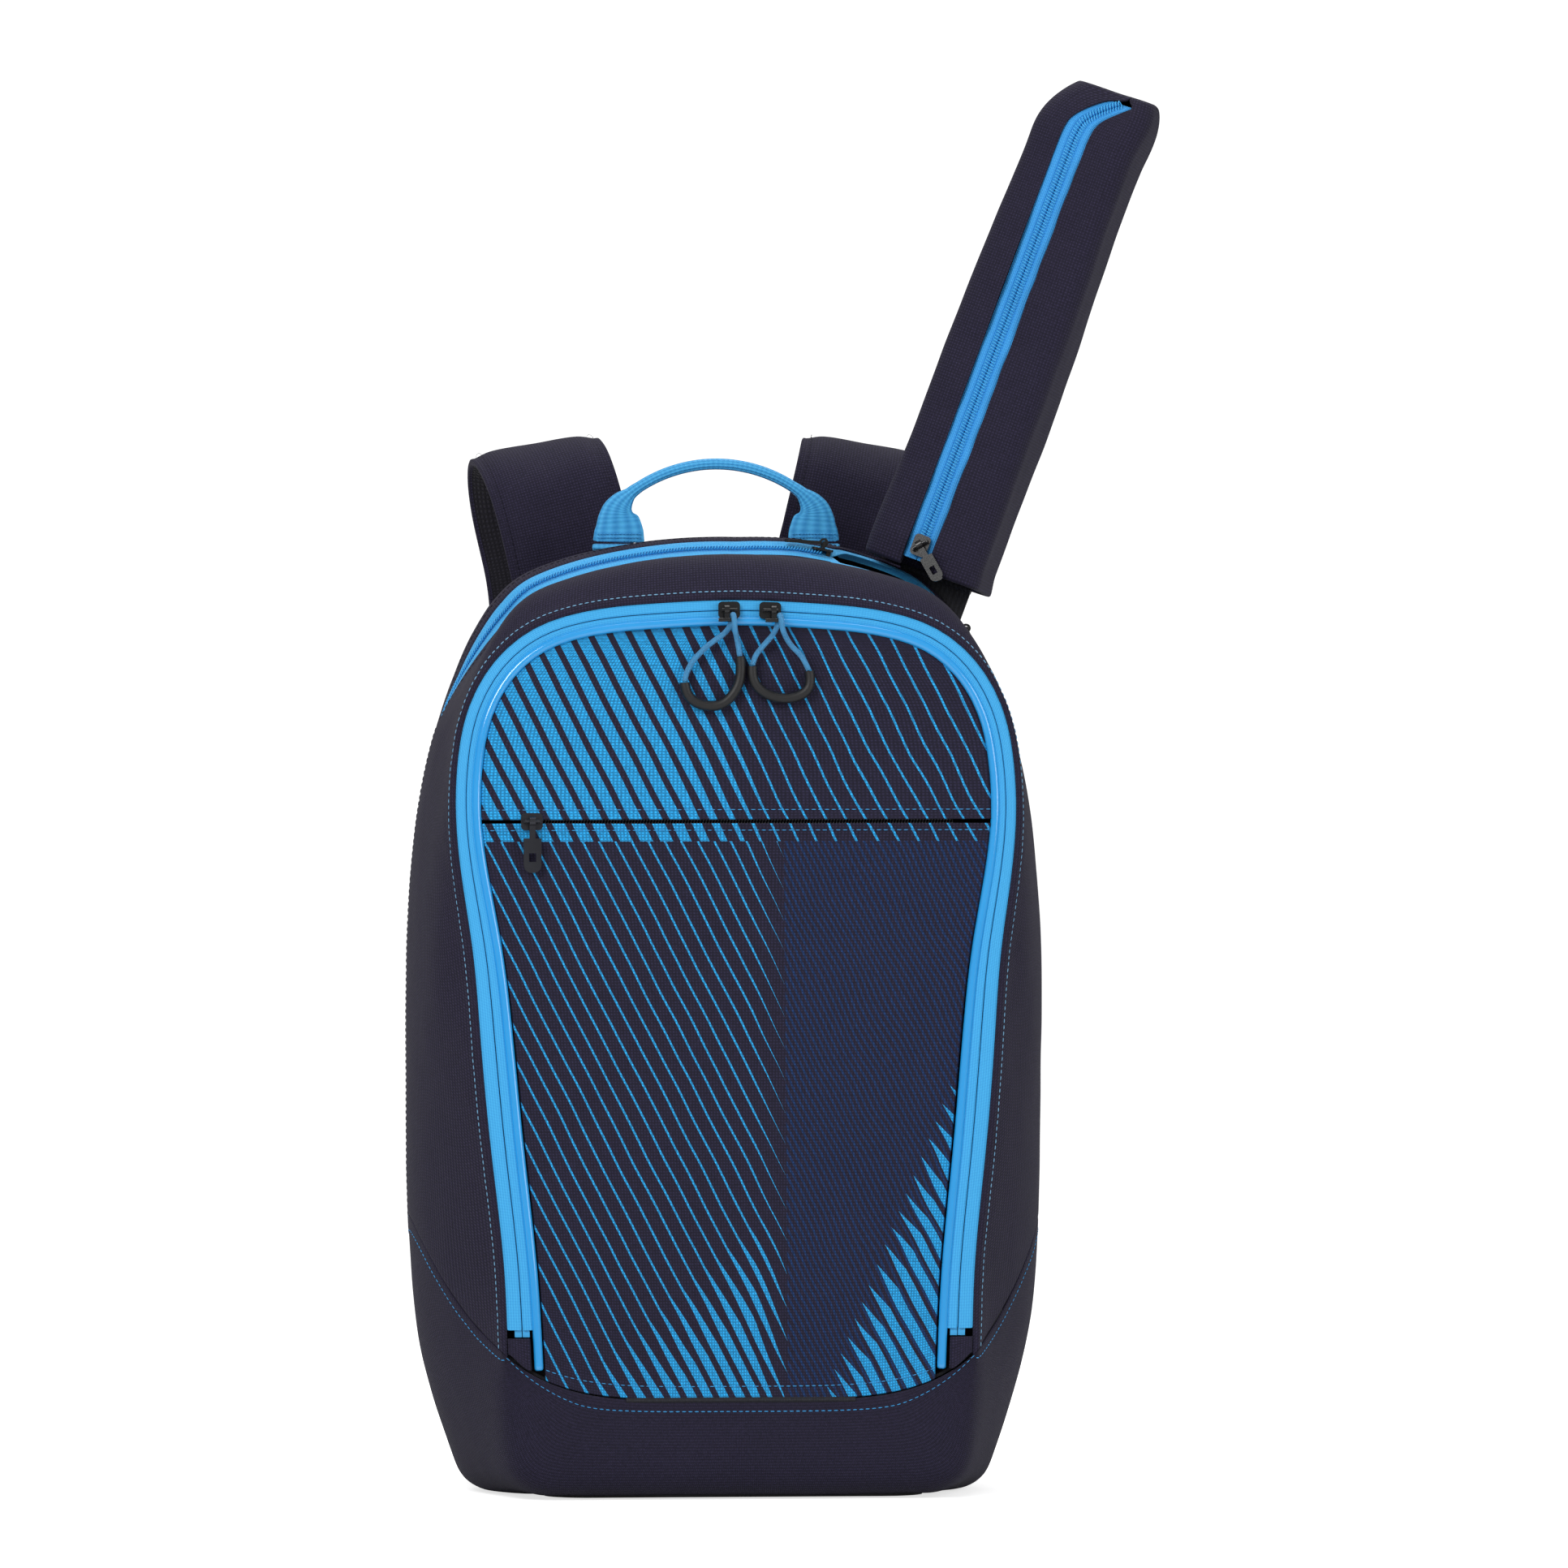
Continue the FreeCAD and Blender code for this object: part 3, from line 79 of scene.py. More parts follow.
body_top = node_box("rear_gusset")[1][2]
body_half_width = node_box("rear_gusset")[1][0]
front_top, front_half_width = body_top - 28.5, body_half_width - 17.0
crown_radius, crown_angle, corner_angle = 264.0, 20.0, 52.0
flank_radius, flank_angle, side_radius = 206.0, 83.0, 900.0
foot_inset, foot_power, floor_half_width = 33.0, 4.3, 104.0
front_floor_half_width = 90.0
front_rim = 3.0
front_foot_y, front_lean = -98.0, 0.075
zip_arch_width, zip_side_width = 10.5, 14.5
band_bulge_y, zip_y, main_zip_width = -40.0, 15.0, 14.0
rear_curve_y, back_y = 60.0, 85.0
boot_seam_z, boot_seam_rise, boot_seam_power = 50.0, 78.0, 4.5
base_edge_radius = 14.0
stash_zip_z, lip_gap = body_top - 140.0, 1.3
garage_top_z = 82.0
piping_radius, piping_y = 2.4, 1.2
mouth_x, mouth_half_length, mouth_half_width = 90.0, 32.0, 17.0
hood_lean, hood_turn, hood_length, hood_shoulder = 20.5, 18.0, 262.0, 232.0
hood_base = (mouth_x + 16.5, zip_y + 1.0, body_top - 16.0)
zip_sag = 2.4
zip_tilt = 3.4                   # the padded band slumps, so the main zip faces forward a little
coil_pitch = 1.5                 # drawn a little coarser than the real 1.2 mm, so the turns show
coil_half, coil_rise = 1.25, 0.8    # half the width and half the height of one wound half
turn_points = 8                  # points on each turn of a coil
upper_columns, lower_columns, panel_columns = 320, 150, 110    # points across the band, the boot and a panel
side_names = {-1: "left", 1: "right"}    # side -1 is at -X and 1 at +X
forwards, backwards = (0.0, -1.0, 0.0), (0.0, 1.0, 0.0)


# ---- curves and surfaces ------------------------------------------------------------------
def unit(vectors):
    """The same directions with length 1."""
    return vectors / np.linalg.norm(vectors, axis=-1, keepdims=True)


def run_along(points):
    """Distance of each point of a line from its first point, measured along the line."""
    return np.concatenate([[0], np.cumsum(np.linalg.norm(np.diff(points, axis=0), axis=1))])


def facing(direction, count):
    """The same direction for each of count points."""
    return np.tile(direction, (count, 1))


def cubic(points, parts, start=None, stop=None):
    """Smooth curve through points, with parts[i] steps in span i; the ends can be given tangents."""
    points = np.asarray(points, float)
    flat = points.reshape(len(points), -1)
    gaps = np.maximum(np.linalg.norm(np.diff(flat, axis=0), axis=1), 1e-9)
    count = len(flat)
    matrix = np.zeros((count, count))
    right = np.zeros_like(flat)
    for i in range(1, count - 1):
        matrix[i, i - 1], matrix[i, i], matrix[i, i + 1] = gaps[i], 2 * (gaps[i - 1] + gaps[i]), gaps[i - 1]
        right[i] = 3 * (gaps[i] * (flat[i] - flat[i - 1]) / gaps[i - 1]
                        + gaps[i - 1] * (flat[i + 1] - flat[i]) / gaps[i])
    for row, other, gap, given in ((0, 1, gaps[0], start), (-1, -2, gaps[-1], stop)):
        matrix[row, row] = 1 if given is not None else 2
        matrix[row, other] = 0 if given is not None else 1
        chord = (flat[other] - flat[row]) * (1 if row == 0 else -1)
        right[row] = np.asarray(given, float) if given is not None else 3 * chord / gap
    slopes = np.linalg.solve(matrix, right)
    result = []
    for i in range(count - 1):
        for k in range(parts[i]):
            t = k / parts[i]
            h00, h10 = 2 * t ** 3 - 3 * t ** 2 + 1, t ** 3 - 2 * t ** 2 + t
            h01, h11 = -2 * t ** 3 + 3 * t ** 2, t ** 3 - t ** 2
            result.append(h00 * flat[i] + h10 * gaps[i] * slopes[i] + h01 * flat[i + 1]
                          + h11 * gaps[i] * slopes[i + 1])
    result.append(flat[-1])
    return np.array(result).reshape((len(result),) + points.shape[1:])


def even(points, count):
    """The same line with its points evenly spaced."""
    points = np.asarray(points, float)
    run = run_along(points)
    at = np.linspace(0, run[-1], count)
    return np.stack([np.interp(at, run, points[:, k]) for k in range(points.shape[1])], axis=1)


side_shares = (0.12, 0.2, 0.32, 0.5, 0.67, 0.93)


class Arch:
    """Half outline: four tangent arcs from the crown to the spring line, a side and a foot."""

    def __init__(self, top, half_width, arcs, insets, floor_half):
        self.angles = [math.radians(angle) for angle, radius in arcs]
        radii = [radius for angle, radius in arcs]
        sines = [0.0] + [math.sin(angle) for angle in self.angles]
        steps = [sines[i + 1] - sines[i] for i in range(4)]
        known = sum(step * radius for step, radius in zip(steps, radii) if radius)
        self.radii = [radius or (half_width - known) / steps[1] for radius in radii]
        self.top, self.half_width, self.insets, self.floor_half = top, half_width, insets, floor_half
        self.centres = [(0.0, top - self.radii[0])]
        for i in range(3):
            shift = self.radii[i] - self.radii[i + 1]
            x, z = self.centres[-1]
            angle = self.angles[i]
            self.centres.append((x + shift * math.sin(angle), z + shift * math.cos(angle)))
        self.spring = self.centres[-1][1]

    def on_arc(self, index, angle, inset):
        """Point of one arc at an angle from straight up, moved in towards the arc's centre."""
        x, z = self.centres[index]
        reach = self.radii[index] - inset
        return (x + reach * math.sin(angle), z + reach * math.cos(angle))

    def points(self, inset=0.0):
        """Outline from the floor's middle up the left side, over the crown and down the right side."""
        half = []
        start = 0.0
        for index, parts in enumerate((2, 3, 2, 1)):
            stop = self.angles[index]
            half += [self.on_arc(index, start + (stop - start) * k / parts, inset)
                     for k in range(1, parts + 1)]
            start = stop
        width = self.half_width - inset
        half += [(width - cut, self.spring * (1 - share)) for share, cut in zip(side_shares, self.insets)]
        foot_x, foot_z = half[-1]
        for angle in (30, 60, 90):
            turn = math.radians(angle)
            x = self.floor_half + (foot_x - self.floor_half) * math.cos(turn)
            half.append((x, foot_z - foot_z * math.sin(turn)))
        return [(-x, z) for x, z in reversed(half)] + [(0.0, self.top - inset)] + half


main_arch = Arch(body_top, body_half_width,
                 ((crown_angle, crown_radius), (corner_angle, 0), (flank_angle, flank_radius),
                  (90.0, side_radius)),
                 [foot_inset * share ** foot_power for share in side_shares], floor_half_width)
front_arch = Arch(front_top, front_half_width, ((9.0, 500.0), (70.0, 0), (85.0, 110.0), (90.0, 300.0)),
                  (4.0, 8.0, 11.5, 17.0, 23.0, 28.0), front_floor_half_width)


def front_y(z):
    """Depth of the leaning front plane at a height."""
    return front_foot_y + front_lean * z


def seam_z(x):
    """Height of the boot's upper edge, which rises towards both sides."""
    return boot_seam_z + boot_seam_rise * (np.abs(x) / (body_half_width - 3)) ** boot_seam_power


def spans(points):
    """Steps for each span of an outline, about 3 mm apart."""
    return [max(1, round(math.dist(a, b) / 3.0)) for a, b in zip(points, points[1:])]


outline_parts = spans(main_arch.points())


def outline(points):
    """Smooth outline through an arch's points."""
    return cubic(points, outline_parts, start=(-1, 0), stop=(-1, 0))


def zip_outline(share):
    """Line that share of the way across the front zip, from the band to the piping."""
    outer = np.array(front_arch.points())
    inner = np.array(front_arch.points(zip_arch_width))
    drop = np.clip((front_arch.spring - inner[:, 1]) / (0.35 * front_arch.spring), 0, 1)
    inner[:, 0] -= np.sign(inner[:, 0]) * drop * (zip_side_width - zip_arch_width)
    return outline(outer + share * (inner - outer))


def on_front(line, out=0.0):
    """Points of an outline set on the leaning front plane, out millimetres in front of it."""
    return np.stack([line[:, 0], front_y(line[:, 1]) - out, line[:, 1]], axis=1)


def at_depth(line, y):
    """Points of an outline set upright at one depth."""
    return np.stack([line[:, 0], np.full(len(line), float(y)), line[:, 1]], axis=1)


def tilt_at(z):
    """How far the zip's rear edge stands above its middle: up at the crown, slightly in down the sides."""
    return zip_tilt * (np.clip((z - 385) / 60, 0, 1) * 1.5 - 0.5)


def zip_line():
    """Main zip's middle, with its outward direction; it sags a little between the crown's ends."""
    line = outline(main_arch.points())
    along = unit(np.gradient(line, axis=0))
    outwards = np.stack([-along[:, 1], along[:, 0]], axis=1)
    sag = np.clip((line[:, 1] - 400) / 50, 0, 1) * np.clip((38 - line[:, 0]) / 30, 0, 1)
    return line - outwards * (zip_sag * sag)[:, None], outwards


def tilted(side):
    """The zip's line moved outwards by its tilt on the side given: -1 front, 1 rear."""
    line, outwards = zip_line()
    return line + outwards * (side * tilt_at(line[:, 1]))[:, None]


def skin_stations():
    """Outlines that the bag's skin runs through, from the front rim back to the back panel."""
    rim = np.array(front_arch.points(-front_rim))
    main = np.array(main_arch.points())
    half_zip = main_zip_width / 2
    return np.array([
        on_front(outline(rim)),
        at_depth(outline(rim + 0.8 * (main - rim)), band_bulge_y),
        at_depth(tilted(-1), zip_y - half_zip),
        at_depth(tilted(1), zip_y + half_zip),
        at_depth(outline(main_arch.points(2.0)), rear_curve_y),
        at_depth(outline(main_arch.points(9.0)), back_y),
    ])


row_parts = [20, 16, 5, 12, 10]
skin = cubic(skin_stations(), row_parts)
band_rows = sum(row_parts[:2])
gusset_start = sum(row_parts[:3])


def rounded_foot(points):
    """Rounds the lower front and rear edges of the bag."""
    points = points.copy()
    radius = base_edge_radius
    for edge_y, inwards in ((front_foot_y, 1), (back_y, -1)):
        depth = (points[..., 1] - edge_y) * inwards
        height = points[..., 2]
        reach = np.hypot(radius - depth, radius - height)
        near = (depth < radius) & (height < radius) & (reach > radius)
        pull = np.where(near, radius / np.maximum(reach, 1e-6), 1.0)
        points[..., 1] = edge_y + inwards * (radius - (radius - depth) * pull)
        points[..., 2] = radius - (radius - height) * pull
    return points


def crossing(row):
    """Places along a row of the skin where it crosses the boot seam, as fractional indices."""
    gap = row[:, 2] - seam_z(row[:, 0])
    found = []
    for i in range(len(row) - 1):
        if (gap[i] < 0) != (gap[i + 1] < 0):
            found.append(i + gap[i] / (gap[i] - gap[i + 1]))
    return found[0], found[-1]


def at_index(row, places):
    """Points of a row at fractional indices."""
    index = np.arange(len(row))
    return np.stack([np.interp(places, index, row[:, k]) for k in range(3)], axis=1)


def above_seam(row):
    """Part of a row that lies above the boot seam, with evenly spaced points."""
    low, high = crossing(row)
    places = np.concatenate([[low], np.arange(math.ceil(low), math.floor(high) + 1), [high]])
    return even(at_index(row, places), upper_columns)


def lower_rows(rows):
    """Part of each skin row that lies below the boot seam, from one side under the floor to the other."""
    result = []
    for row in rows:
        low, high = crossing(row)
        left = at_index(row, np.concatenate([[low], np.arange(math.floor(low), -1, -1)]))
        right = at_index(row, np.concatenate([np.arange(len(row) - 1, math.ceil(high) - 1, -1), [high]]))
        result.append(even(np.concatenate([left, right]), lower_columns))
    return rounded_foot(np.array(result))


def normals_of(grid):
    """Unit normals of a grid of points, facing as its columns turn into its rows."""
    along = np.gradient(grid, axis=1)
    across = np.gradient(grid, axis=0)
    normals = np.cross(along, across)
    return normals / np.maximum(np.linalg.norm(normals, axis=2, keepdims=True), 1e-9)


def softness(grid, wide=0.9, fine=0.25, seed=0.0):
    """Height of the cloth's slack over a smooth form: waves 55 to 80 mm long and puckers of 14 to 22 mm."""
    heights = np.zeros(grid.shape[:2])
    for i, row in enumerate(grid):
        for j, (x, y, z) in enumerate(row):
            wave = Vector((x / 55 + seed, y / 55, z / 80))
            pucker = Vector((x / 14, y / 14 + seed, z / 22))
            heights[i, j] = wide * noise.noise(wave) + fine * noise.noise(pucker)
    return heights


def grid_piece(name, grid, material, body, thickness=0.0, closed=False, smooth=1):
    """Mesh from a grid of points in millimetres, with a length-true UV map in metres."""
    rows, columns = grid.shape[:2]
    mesh = bpy.data.meshes.new(name)
    wrap = columns if closed else columns - 1
    faces = [(i * columns + j, i * columns + (j + 1) % columns, (i + 1) * columns + (j + 1) % columns,
              (i + 1) * columns + j) for i in range(rows - 1) for j in range(wrap)]
    mesh.from_pydata([tuple(p) for p in grid.reshape(-1, 3) * MM], [], faces)
    closed_grid = np.concatenate([grid, grid[:, :1]], axis=1) if closed else grid
    run_u = run_along(closed_grid[rows // 2]) * MM
    run_v = run_along(closed_grid[:, (wrap + 1) // 2]) * MM
    uv = mesh.uv_layers.new(name="thread")
    values = []
    for i in range(rows - 1):
        for j in range(wrap):
            for a, b in ((i, j), (i, j + 1), (i + 1, j + 1), (i + 1, j)):
                values += [run_u[b], run_v[a]]
    uv.data.foreach_set("uv", values)
    return finish_piece(name, mesh, material, body, thickness, smooth)


def finish_piece(name, mesh, material, body, thickness=0.0, smooth=0):
    """Puts a mesh in the scene on its body, with its material, the cloth's thickness and rounding."""
    mesh.shade_smooth()
    mesh.materials.append(material)
    piece = bpy.data.objects.new(name, mesh)
    bpy.context.collection.objects.link(piece)
    if thickness:
        solid = piece.modifiers.new("cloth thickness", "SOLIDIFY")
        solid.thickness = thickness * MM
        solid.offset = -1
    if smooth:
        rounding = piece.modifiers.new("rounding", "SUBSURF")
        rounding.levels = rounding.render_levels = smooth
    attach(piece, body)
    return piece


def with_closed_ends(grid):
    """A tube's rings, with a ring drawn together to the middle at each end."""
    first, last = [np.repeat(ring.mean(axis=1, keepdims=True), grid.shape[1], 1)
                   for ring in (grid[:1], grid[-1:])]
    return np.concatenate([first, grid, last])


def sweep(name, path, normals, section, material, body, smooth=0, scales=None):
    """Section (across, out) swept along a path; normals point out of the surface it lies on."""
    path = np.asarray(path, float)
    tangents = unit(np.gradient(path, axis=0))
    across = unit(np.cross(tangents, normals))
    outs = np.cross(across, tangents)
    if scales is None:
        scales = np.ones((len(path), 2))
    grid = [[path[k] + across[k] * a * wide + outs[k] * b * thick for a, b in section]
            for k, (wide, thick) in enumerate(scales)]
    return grid_piece(name, with_closed_ends(np.array(grid)), material, body, closed=True, smooth=smooth)


def round_section(radius, count):
    """Circle of count points."""
    return [(radius * math.cos(2 * math.pi * k / count), radius * math.sin(2 * math.pi * k / count))
            for k in range(count)]


def flat_section(width, thickness):
    """Woven band: flat faces, rounded edges."""
    half, thin = width / 2, thickness / 2
    edge = min(half * 0.5, thin * 1.2)
    upper = [(-half, 0), (-half + edge * 0.3, thin * 0.8), (-half + edge, thin), (0, thin),
             (half - edge, thin), (half - edge * 0.3, thin * 0.8)]
    return upper + [(-x, -y) for x, y in upper]


def stitches(name, path, normals, material, body, pitch=3.2, share=0.66, radius=0.32):
    """Row of thread stitches: short rounded dashes that dip into the cloth at both ends."""
    count = max(2, int(run_along(path)[-1] / pitch))
    line = even(path, count * 4 + 1)
    outs = even(normals, count * 4 + 1)
    tangents = unit(np.gradient(line, axis=0))
    mesh = bmesh.new()
    lift = 0.15
    # place along a stitch and its fatness there
    profile = [(0.0, 0.0), (0.2, 0.85), (0.5, 1.0), (0.8, 0.85), (1.0, 0.0)]
    for k in range(count):
        middle = k * 4 + 2
        along, out = tangents[middle], unit(outs[middle])
        across = np.cross(along, out)
        rings = []
        for place, fat in profile:
            centre = line[middle] + along * (place - 0.5) * pitch * share + out * lift
            size = radius * max(fat, 0.25)
            ring = [centre + (across * math.cos(a) + out * math.sin(a) * 0.8) * size
                    for a in (0.0, 1.05, 2.09, 3.14, 4.19, 5.24)]
            rings.append([mesh.verts.new(point * MM) for point in ring])
        for first, second in zip(rings, rings[1:]):
            for i in range(6):
                mesh.faces.new((first[i], first[(i + 1) % 6], second[(i + 1) % 6], second[i]))
    data = bpy.data.meshes.new(name)
    mesh.to_mesh(data)
    mesh.free()
    return finish_piece(name, data, material, body)


# ---- materials ----------------------------------------------------------------------------
wave_repeat = 0.314              # a wave texture of scale 1 repeats after this distance


def srgb(text):
    """Linear colour of a screen colour written as rrggbb."""
    values = [int(text[i:i + 2], 16) / 255 for i in (0, 2, 4)]
    return [v / 12.92 if v <= 0.04045 else ((v + 0.055) / 1.055) ** 2.4 for v in values] + [1.0]


def add(tree, kind, inputs=(), give=0, **settings):
    """Adds a shader node with its settings and links, and returns the output named by give.

    The inputs are a dictionary by name or number, or values in the node's own order; each is a value or
    another node's output."""
    made = tree.nodes.new("ShaderNode" + kind)
    for name, value in settings.items():
        setattr(made, name, value)
    for name, value in inputs.items() if isinstance(inputs, dict) else enumerate(inputs):
        if isinstance(value, bpy.types.NodeSocket):
            tree.links.new(value, made.inputs[name])
        else:
            made.inputs[name].default_value = value
    return made.outputs[give] if made.outputs else None


def begin(name):
    """A material without nodes, and its node tree."""
    material = bpy.data.materials.new(name)
    material.use_nodes = True
    material.node_tree.nodes.clear()
    return material, material.node_tree


def woven(name, colour, shade, pitch, depth, roughness, sheen=0.04, laid="UV", pattern=None):
    """Cloth of crossing threads: each crossing catches the light and the gaps between stay darker."""
    material, tree = begin(name)
    place = add(tree, "TexCoord", give=laid)
    around = add(tree, "TexCoord", give="Object")
    scale = wave_repeat / (pitch * MM)
    # threads cross at the pitch, the dye clouds over about 26 mm and fibres fleck it at about 1 mm
    warp = add(tree, "TexWave", {"Vector": place, "Scale": scale}, "Fac", bands_direction="X")
    weft = add(tree, "TexWave", {"Vector": place, "Scale": scale}, "Fac", bands_direction="Y")
    threads = add(tree, "Math", (warp, weft), operation="MULTIPLY")
    cloud = add(tree, "TexNoise", {"Vector": around, "Scale": 38.0, "Detail": 4.0}, "Fac")
    speck = add(tree, "TexNoise", {"Vector": around, "Scale": 900.0, "Detail": 1.0}, "Fac")
    patches = add(tree, "Math", (cloud, 0.5), operation="MULTIPLY")
    base = add(tree, "Mix", {0: patches, 6: srgb(colour), 7: srgb(shade)}, 2, data_type="RGBA")
    if pattern:
        base = pattern(tree, base)
    # painted light: the crossings are coloured brighter than the gaps between them, which take painted shade,
    # and single fibres fleck them
    lit = add(tree, "Math", (threads, 0.62), operation="ADD")
    flecks = add(tree, "MapRange", (speck, 0.3, 0.7, 0.8, 1.2))
    weave_light_and_flecks = add(tree, "Math", (lit, flecks), operation="MULTIPLY")
    value = add(tree, "HueSaturation", {"Color": base, "Value": weave_light_and_flecks})
    fibres = add(tree, "Math", (speck, 0.35), operation="MULTIPLY")
    height = add(tree, "Math", (threads, fibres), operation="ADD")
    bump = add(tree, "Bump", {"Height": height, "Distance": depth * MM, "Strength": 0.9})
    shader = add(tree, "BsdfPrincipled", {"Base Color": value, "Roughness": roughness, "IOR": 1.45,
                                          "Specular IOR Level": 0.22, "Sheen Weight": sheen,
                                          "Sheen Roughness": 0.5, "Normal": bump})
    add(tree, "OutputMaterial", {"Surface": shader})
    return material


def moulded(name, colour, shade, roughness, spread, depth, metallic=0.0, coat=0.0, stretch=(1.0, 1.0, 1.0)):
    """Moulded, drawn or painted surface: its gloss and tone wander a little, with a faint unevenness."""
    material, tree = begin(name)
    place = add(tree, "TexCoord", give="Object")
    place = add(tree, "Mapping", {"Vector": place, "Scale": stretch})
    # broad mottling over about 27 mm, and a grain of about 1 mm
    broad = add(tree, "TexNoise", {"Vector": place, "Scale": 220.0 / 6, "Detail": 3.0}, "Fac")
    fine = add(tree, "TexNoise", {"Vector": place, "Scale": 1100.0, "Detail": 2.0}, "Fac")
    base = add(tree, "Mix", {0: broad, 6: srgb(colour), 7: srgb(shade)}, 2, data_type="RGBA")
    gloss = add(tree, "MapRange", {"Value": fine, "To Min": roughness - spread / 2,
                                   "To Max": roughness + spread / 2})
    bump = add(tree, "Bump", {"Height": fine, "Distance": depth * MM, "Strength": 0.8})
    shader = add(tree, "BsdfPrincipled", {"Base Color": base, "Roughness": gloss, "Metallic": metallic,
                                          "IOR": 1.5, "Coat Weight": coat, "Coat Roughness": 0.08,
                                          "Normal": bump})
    add(tree, "OutputMaterial", {"Surface": shader})
    return material


def ribbed(name, colour, shade, pitch, depth, roughness, slant=0.0, along="X"):
    """Webbing, knit tape or braid: close ribs that shade into grooves, broken by single threads."""
    material, tree = begin(name)
    place = add(tree, "TexCoord", give="UV")
    place = add(tree, "Mapping", {"Vector": place, "Rotation": (0, 0, slant)})
    scale = wave_repeat / (pitch * MM)
    ribs = add(tree, "TexWave", {"Vector": place, "Scale": scale, "Distortion": 0.4, "Detail": 1.0,
                                 "Detail Scale": 2.0}, "Fac", bands_direction=along)
    yarn = add(tree, "TexWave", {"Vector": place, "Scale": scale * 0.62}, "Fac",
               bands_direction="Y" if along == "X" else "X")
    faint_yarn = add(tree, "Math", (yarn, 0.45), operation="MULTIPLY")
    height = add(tree, "Math", (ribs, faint_yarn), operation="ADD")
    raised = add(tree, "Math", (height, 0.7), operation="MULTIPLY")
    # painted light and shade: the crowns of the ribs and cross yarns take the lighter colour, the grooves the
    # darker shade
    base = add(tree, "Mix", {0: raised, 6: srgb(shade), 7: srgb(colour)}, 2, data_type="RGBA")
    bump = add(tree, "Bump", {"Height": height, "Distance": depth * MM, "Strength": 0.9})
    shader = add(tree, "BsdfPrincipled", {"Base Color": base, "Roughness": roughness, "IOR": 1.5,
                                          "Sheen Weight": 0.1, "Normal": bump})
    add(tree, "OutputMaterial", {"Surface": shader})
    return material


def stripe_mask(tree, across, pitch, share):
    """1 on stripes of the given pitch in millimetres, share of it wide; share may be a socket."""
    pitches = add(tree, "Math", (across, pitch * MM), operation="DIVIDE")
    turn = add(tree, "Math", (pitches,), operation="FRACT")
    return add(tree, "Math", (turn, share), operation="LESS_THAN")


def slanted_stripes(tree, base):
    """Leaning printed stripes: bold at the upper left, hairline elsewhere, deep blue at the lower right."""
    place = add(tree, "TexCoord", give="Object")
    x = add(tree, "SeparateXYZ", {"Vector": place}, "X")
    z = x.node.outputs["Z"]
    # the stripes lean 27 degrees from upright, and their edges waver more towards the right
    wobble = add(tree, "TexNoise", {"Vector": place, "Scale": 22.0, "Detail": 1.0}, "Fac")
    waver = add(tree, "MapRange", (x, 0.0, 60 * MM, 0.0018, 0.006))
    shift = add(tree, "Math", (wobble, waver), operation="MULTIPLY")
    sideways = add(tree, "Math", (x, 0.891), operation="MULTIPLY")
    upwards = add(tree, "Math", (z, 0.454), operation="MULTIPLY")
    straight = add(tree, "Math", (sideways, upwards), operation="ADD")
    across = add(tree, "Math", (straight, shift), operation="ADD")
    # upper band, above the small pocket: bold at the left, thinning out to the right
    upper_share = add(tree, "MapRange", (x, -30 * MM, 14 * MM, 0.64, 0.13))
    upper = stripe_mask(tree, across, 9.0, upper_share)
    # lower band: hairlines at the left, a bold foot in the middle, bold again up the right edge
    leaning = add(tree, "Math", (x, -0.9), operation="MULTIPLY")
    above_foot = add(tree, "Math", (z, leaning), operation="ADD")
    foot = add(tree, "MapRange", (above_foot, 88 * MM, 132 * MM, 0.58, 0.14))
    not_right = add(tree, "MapRange", (x, 8 * MM, 24 * MM, 1.0, 0.0))
    left_share = add(tree, "Math", (foot, not_right), operation="MULTIPLY")
    left = stripe_mask(tree, across, 7.4, left_share)
    rising = add(tree, "Math", (z, 0.42), operation="MULTIPLY")
    past_edge = add(tree, "Math", (x, rising), operation="SUBTRACT")
    right_share = add(tree, "MapRange", (past_edge, 20 * MM, 36 * MM, 0.0, 0.6))
    right = stripe_mask(tree, across, 7.4, right_share)
    deep = stripe_mask(tree, across, 3.0, 0.4)
    is_upper = add(tree, "Math", (z, (stash_zip_z - 10) * MM), operation="GREATER_THAN")
    is_lower = add(tree, "Math", (1.0, is_upper), operation="SUBTRACT")
    is_right = add(tree, "Math", (x, 0.024), operation="GREATER_THAN")
    lower = add(tree, "Mix", {0: is_right, 2: left, 3: right}, data_type="FLOAT")
    bright = add(tree, "Mix", {0: is_upper, 2: lower, 3: upper}, data_type="FLOAT")
    # deep blue stripes under the bright ones, only in the lower band's right part
    deep_lower = add(tree, "Math", (deep, is_lower), operation="MULTIPLY")
    toned = add(tree, "Mix", {0: deep_lower, 6: base, 7: srgb("17315c")}, 2, data_type="RGBA")
    lower_right = add(tree, "Math", (is_right, is_lower), operation="MULTIPLY")
    ground_tone = add(tree, "Mix", {0: lower_right, 6: base, 7: toned}, 2, data_type="RGBA")
    return add(tree, "Mix", {0: bright, 6: ground_tone, 7: srgb("289ad8")}, 2, data_type="RGBA")


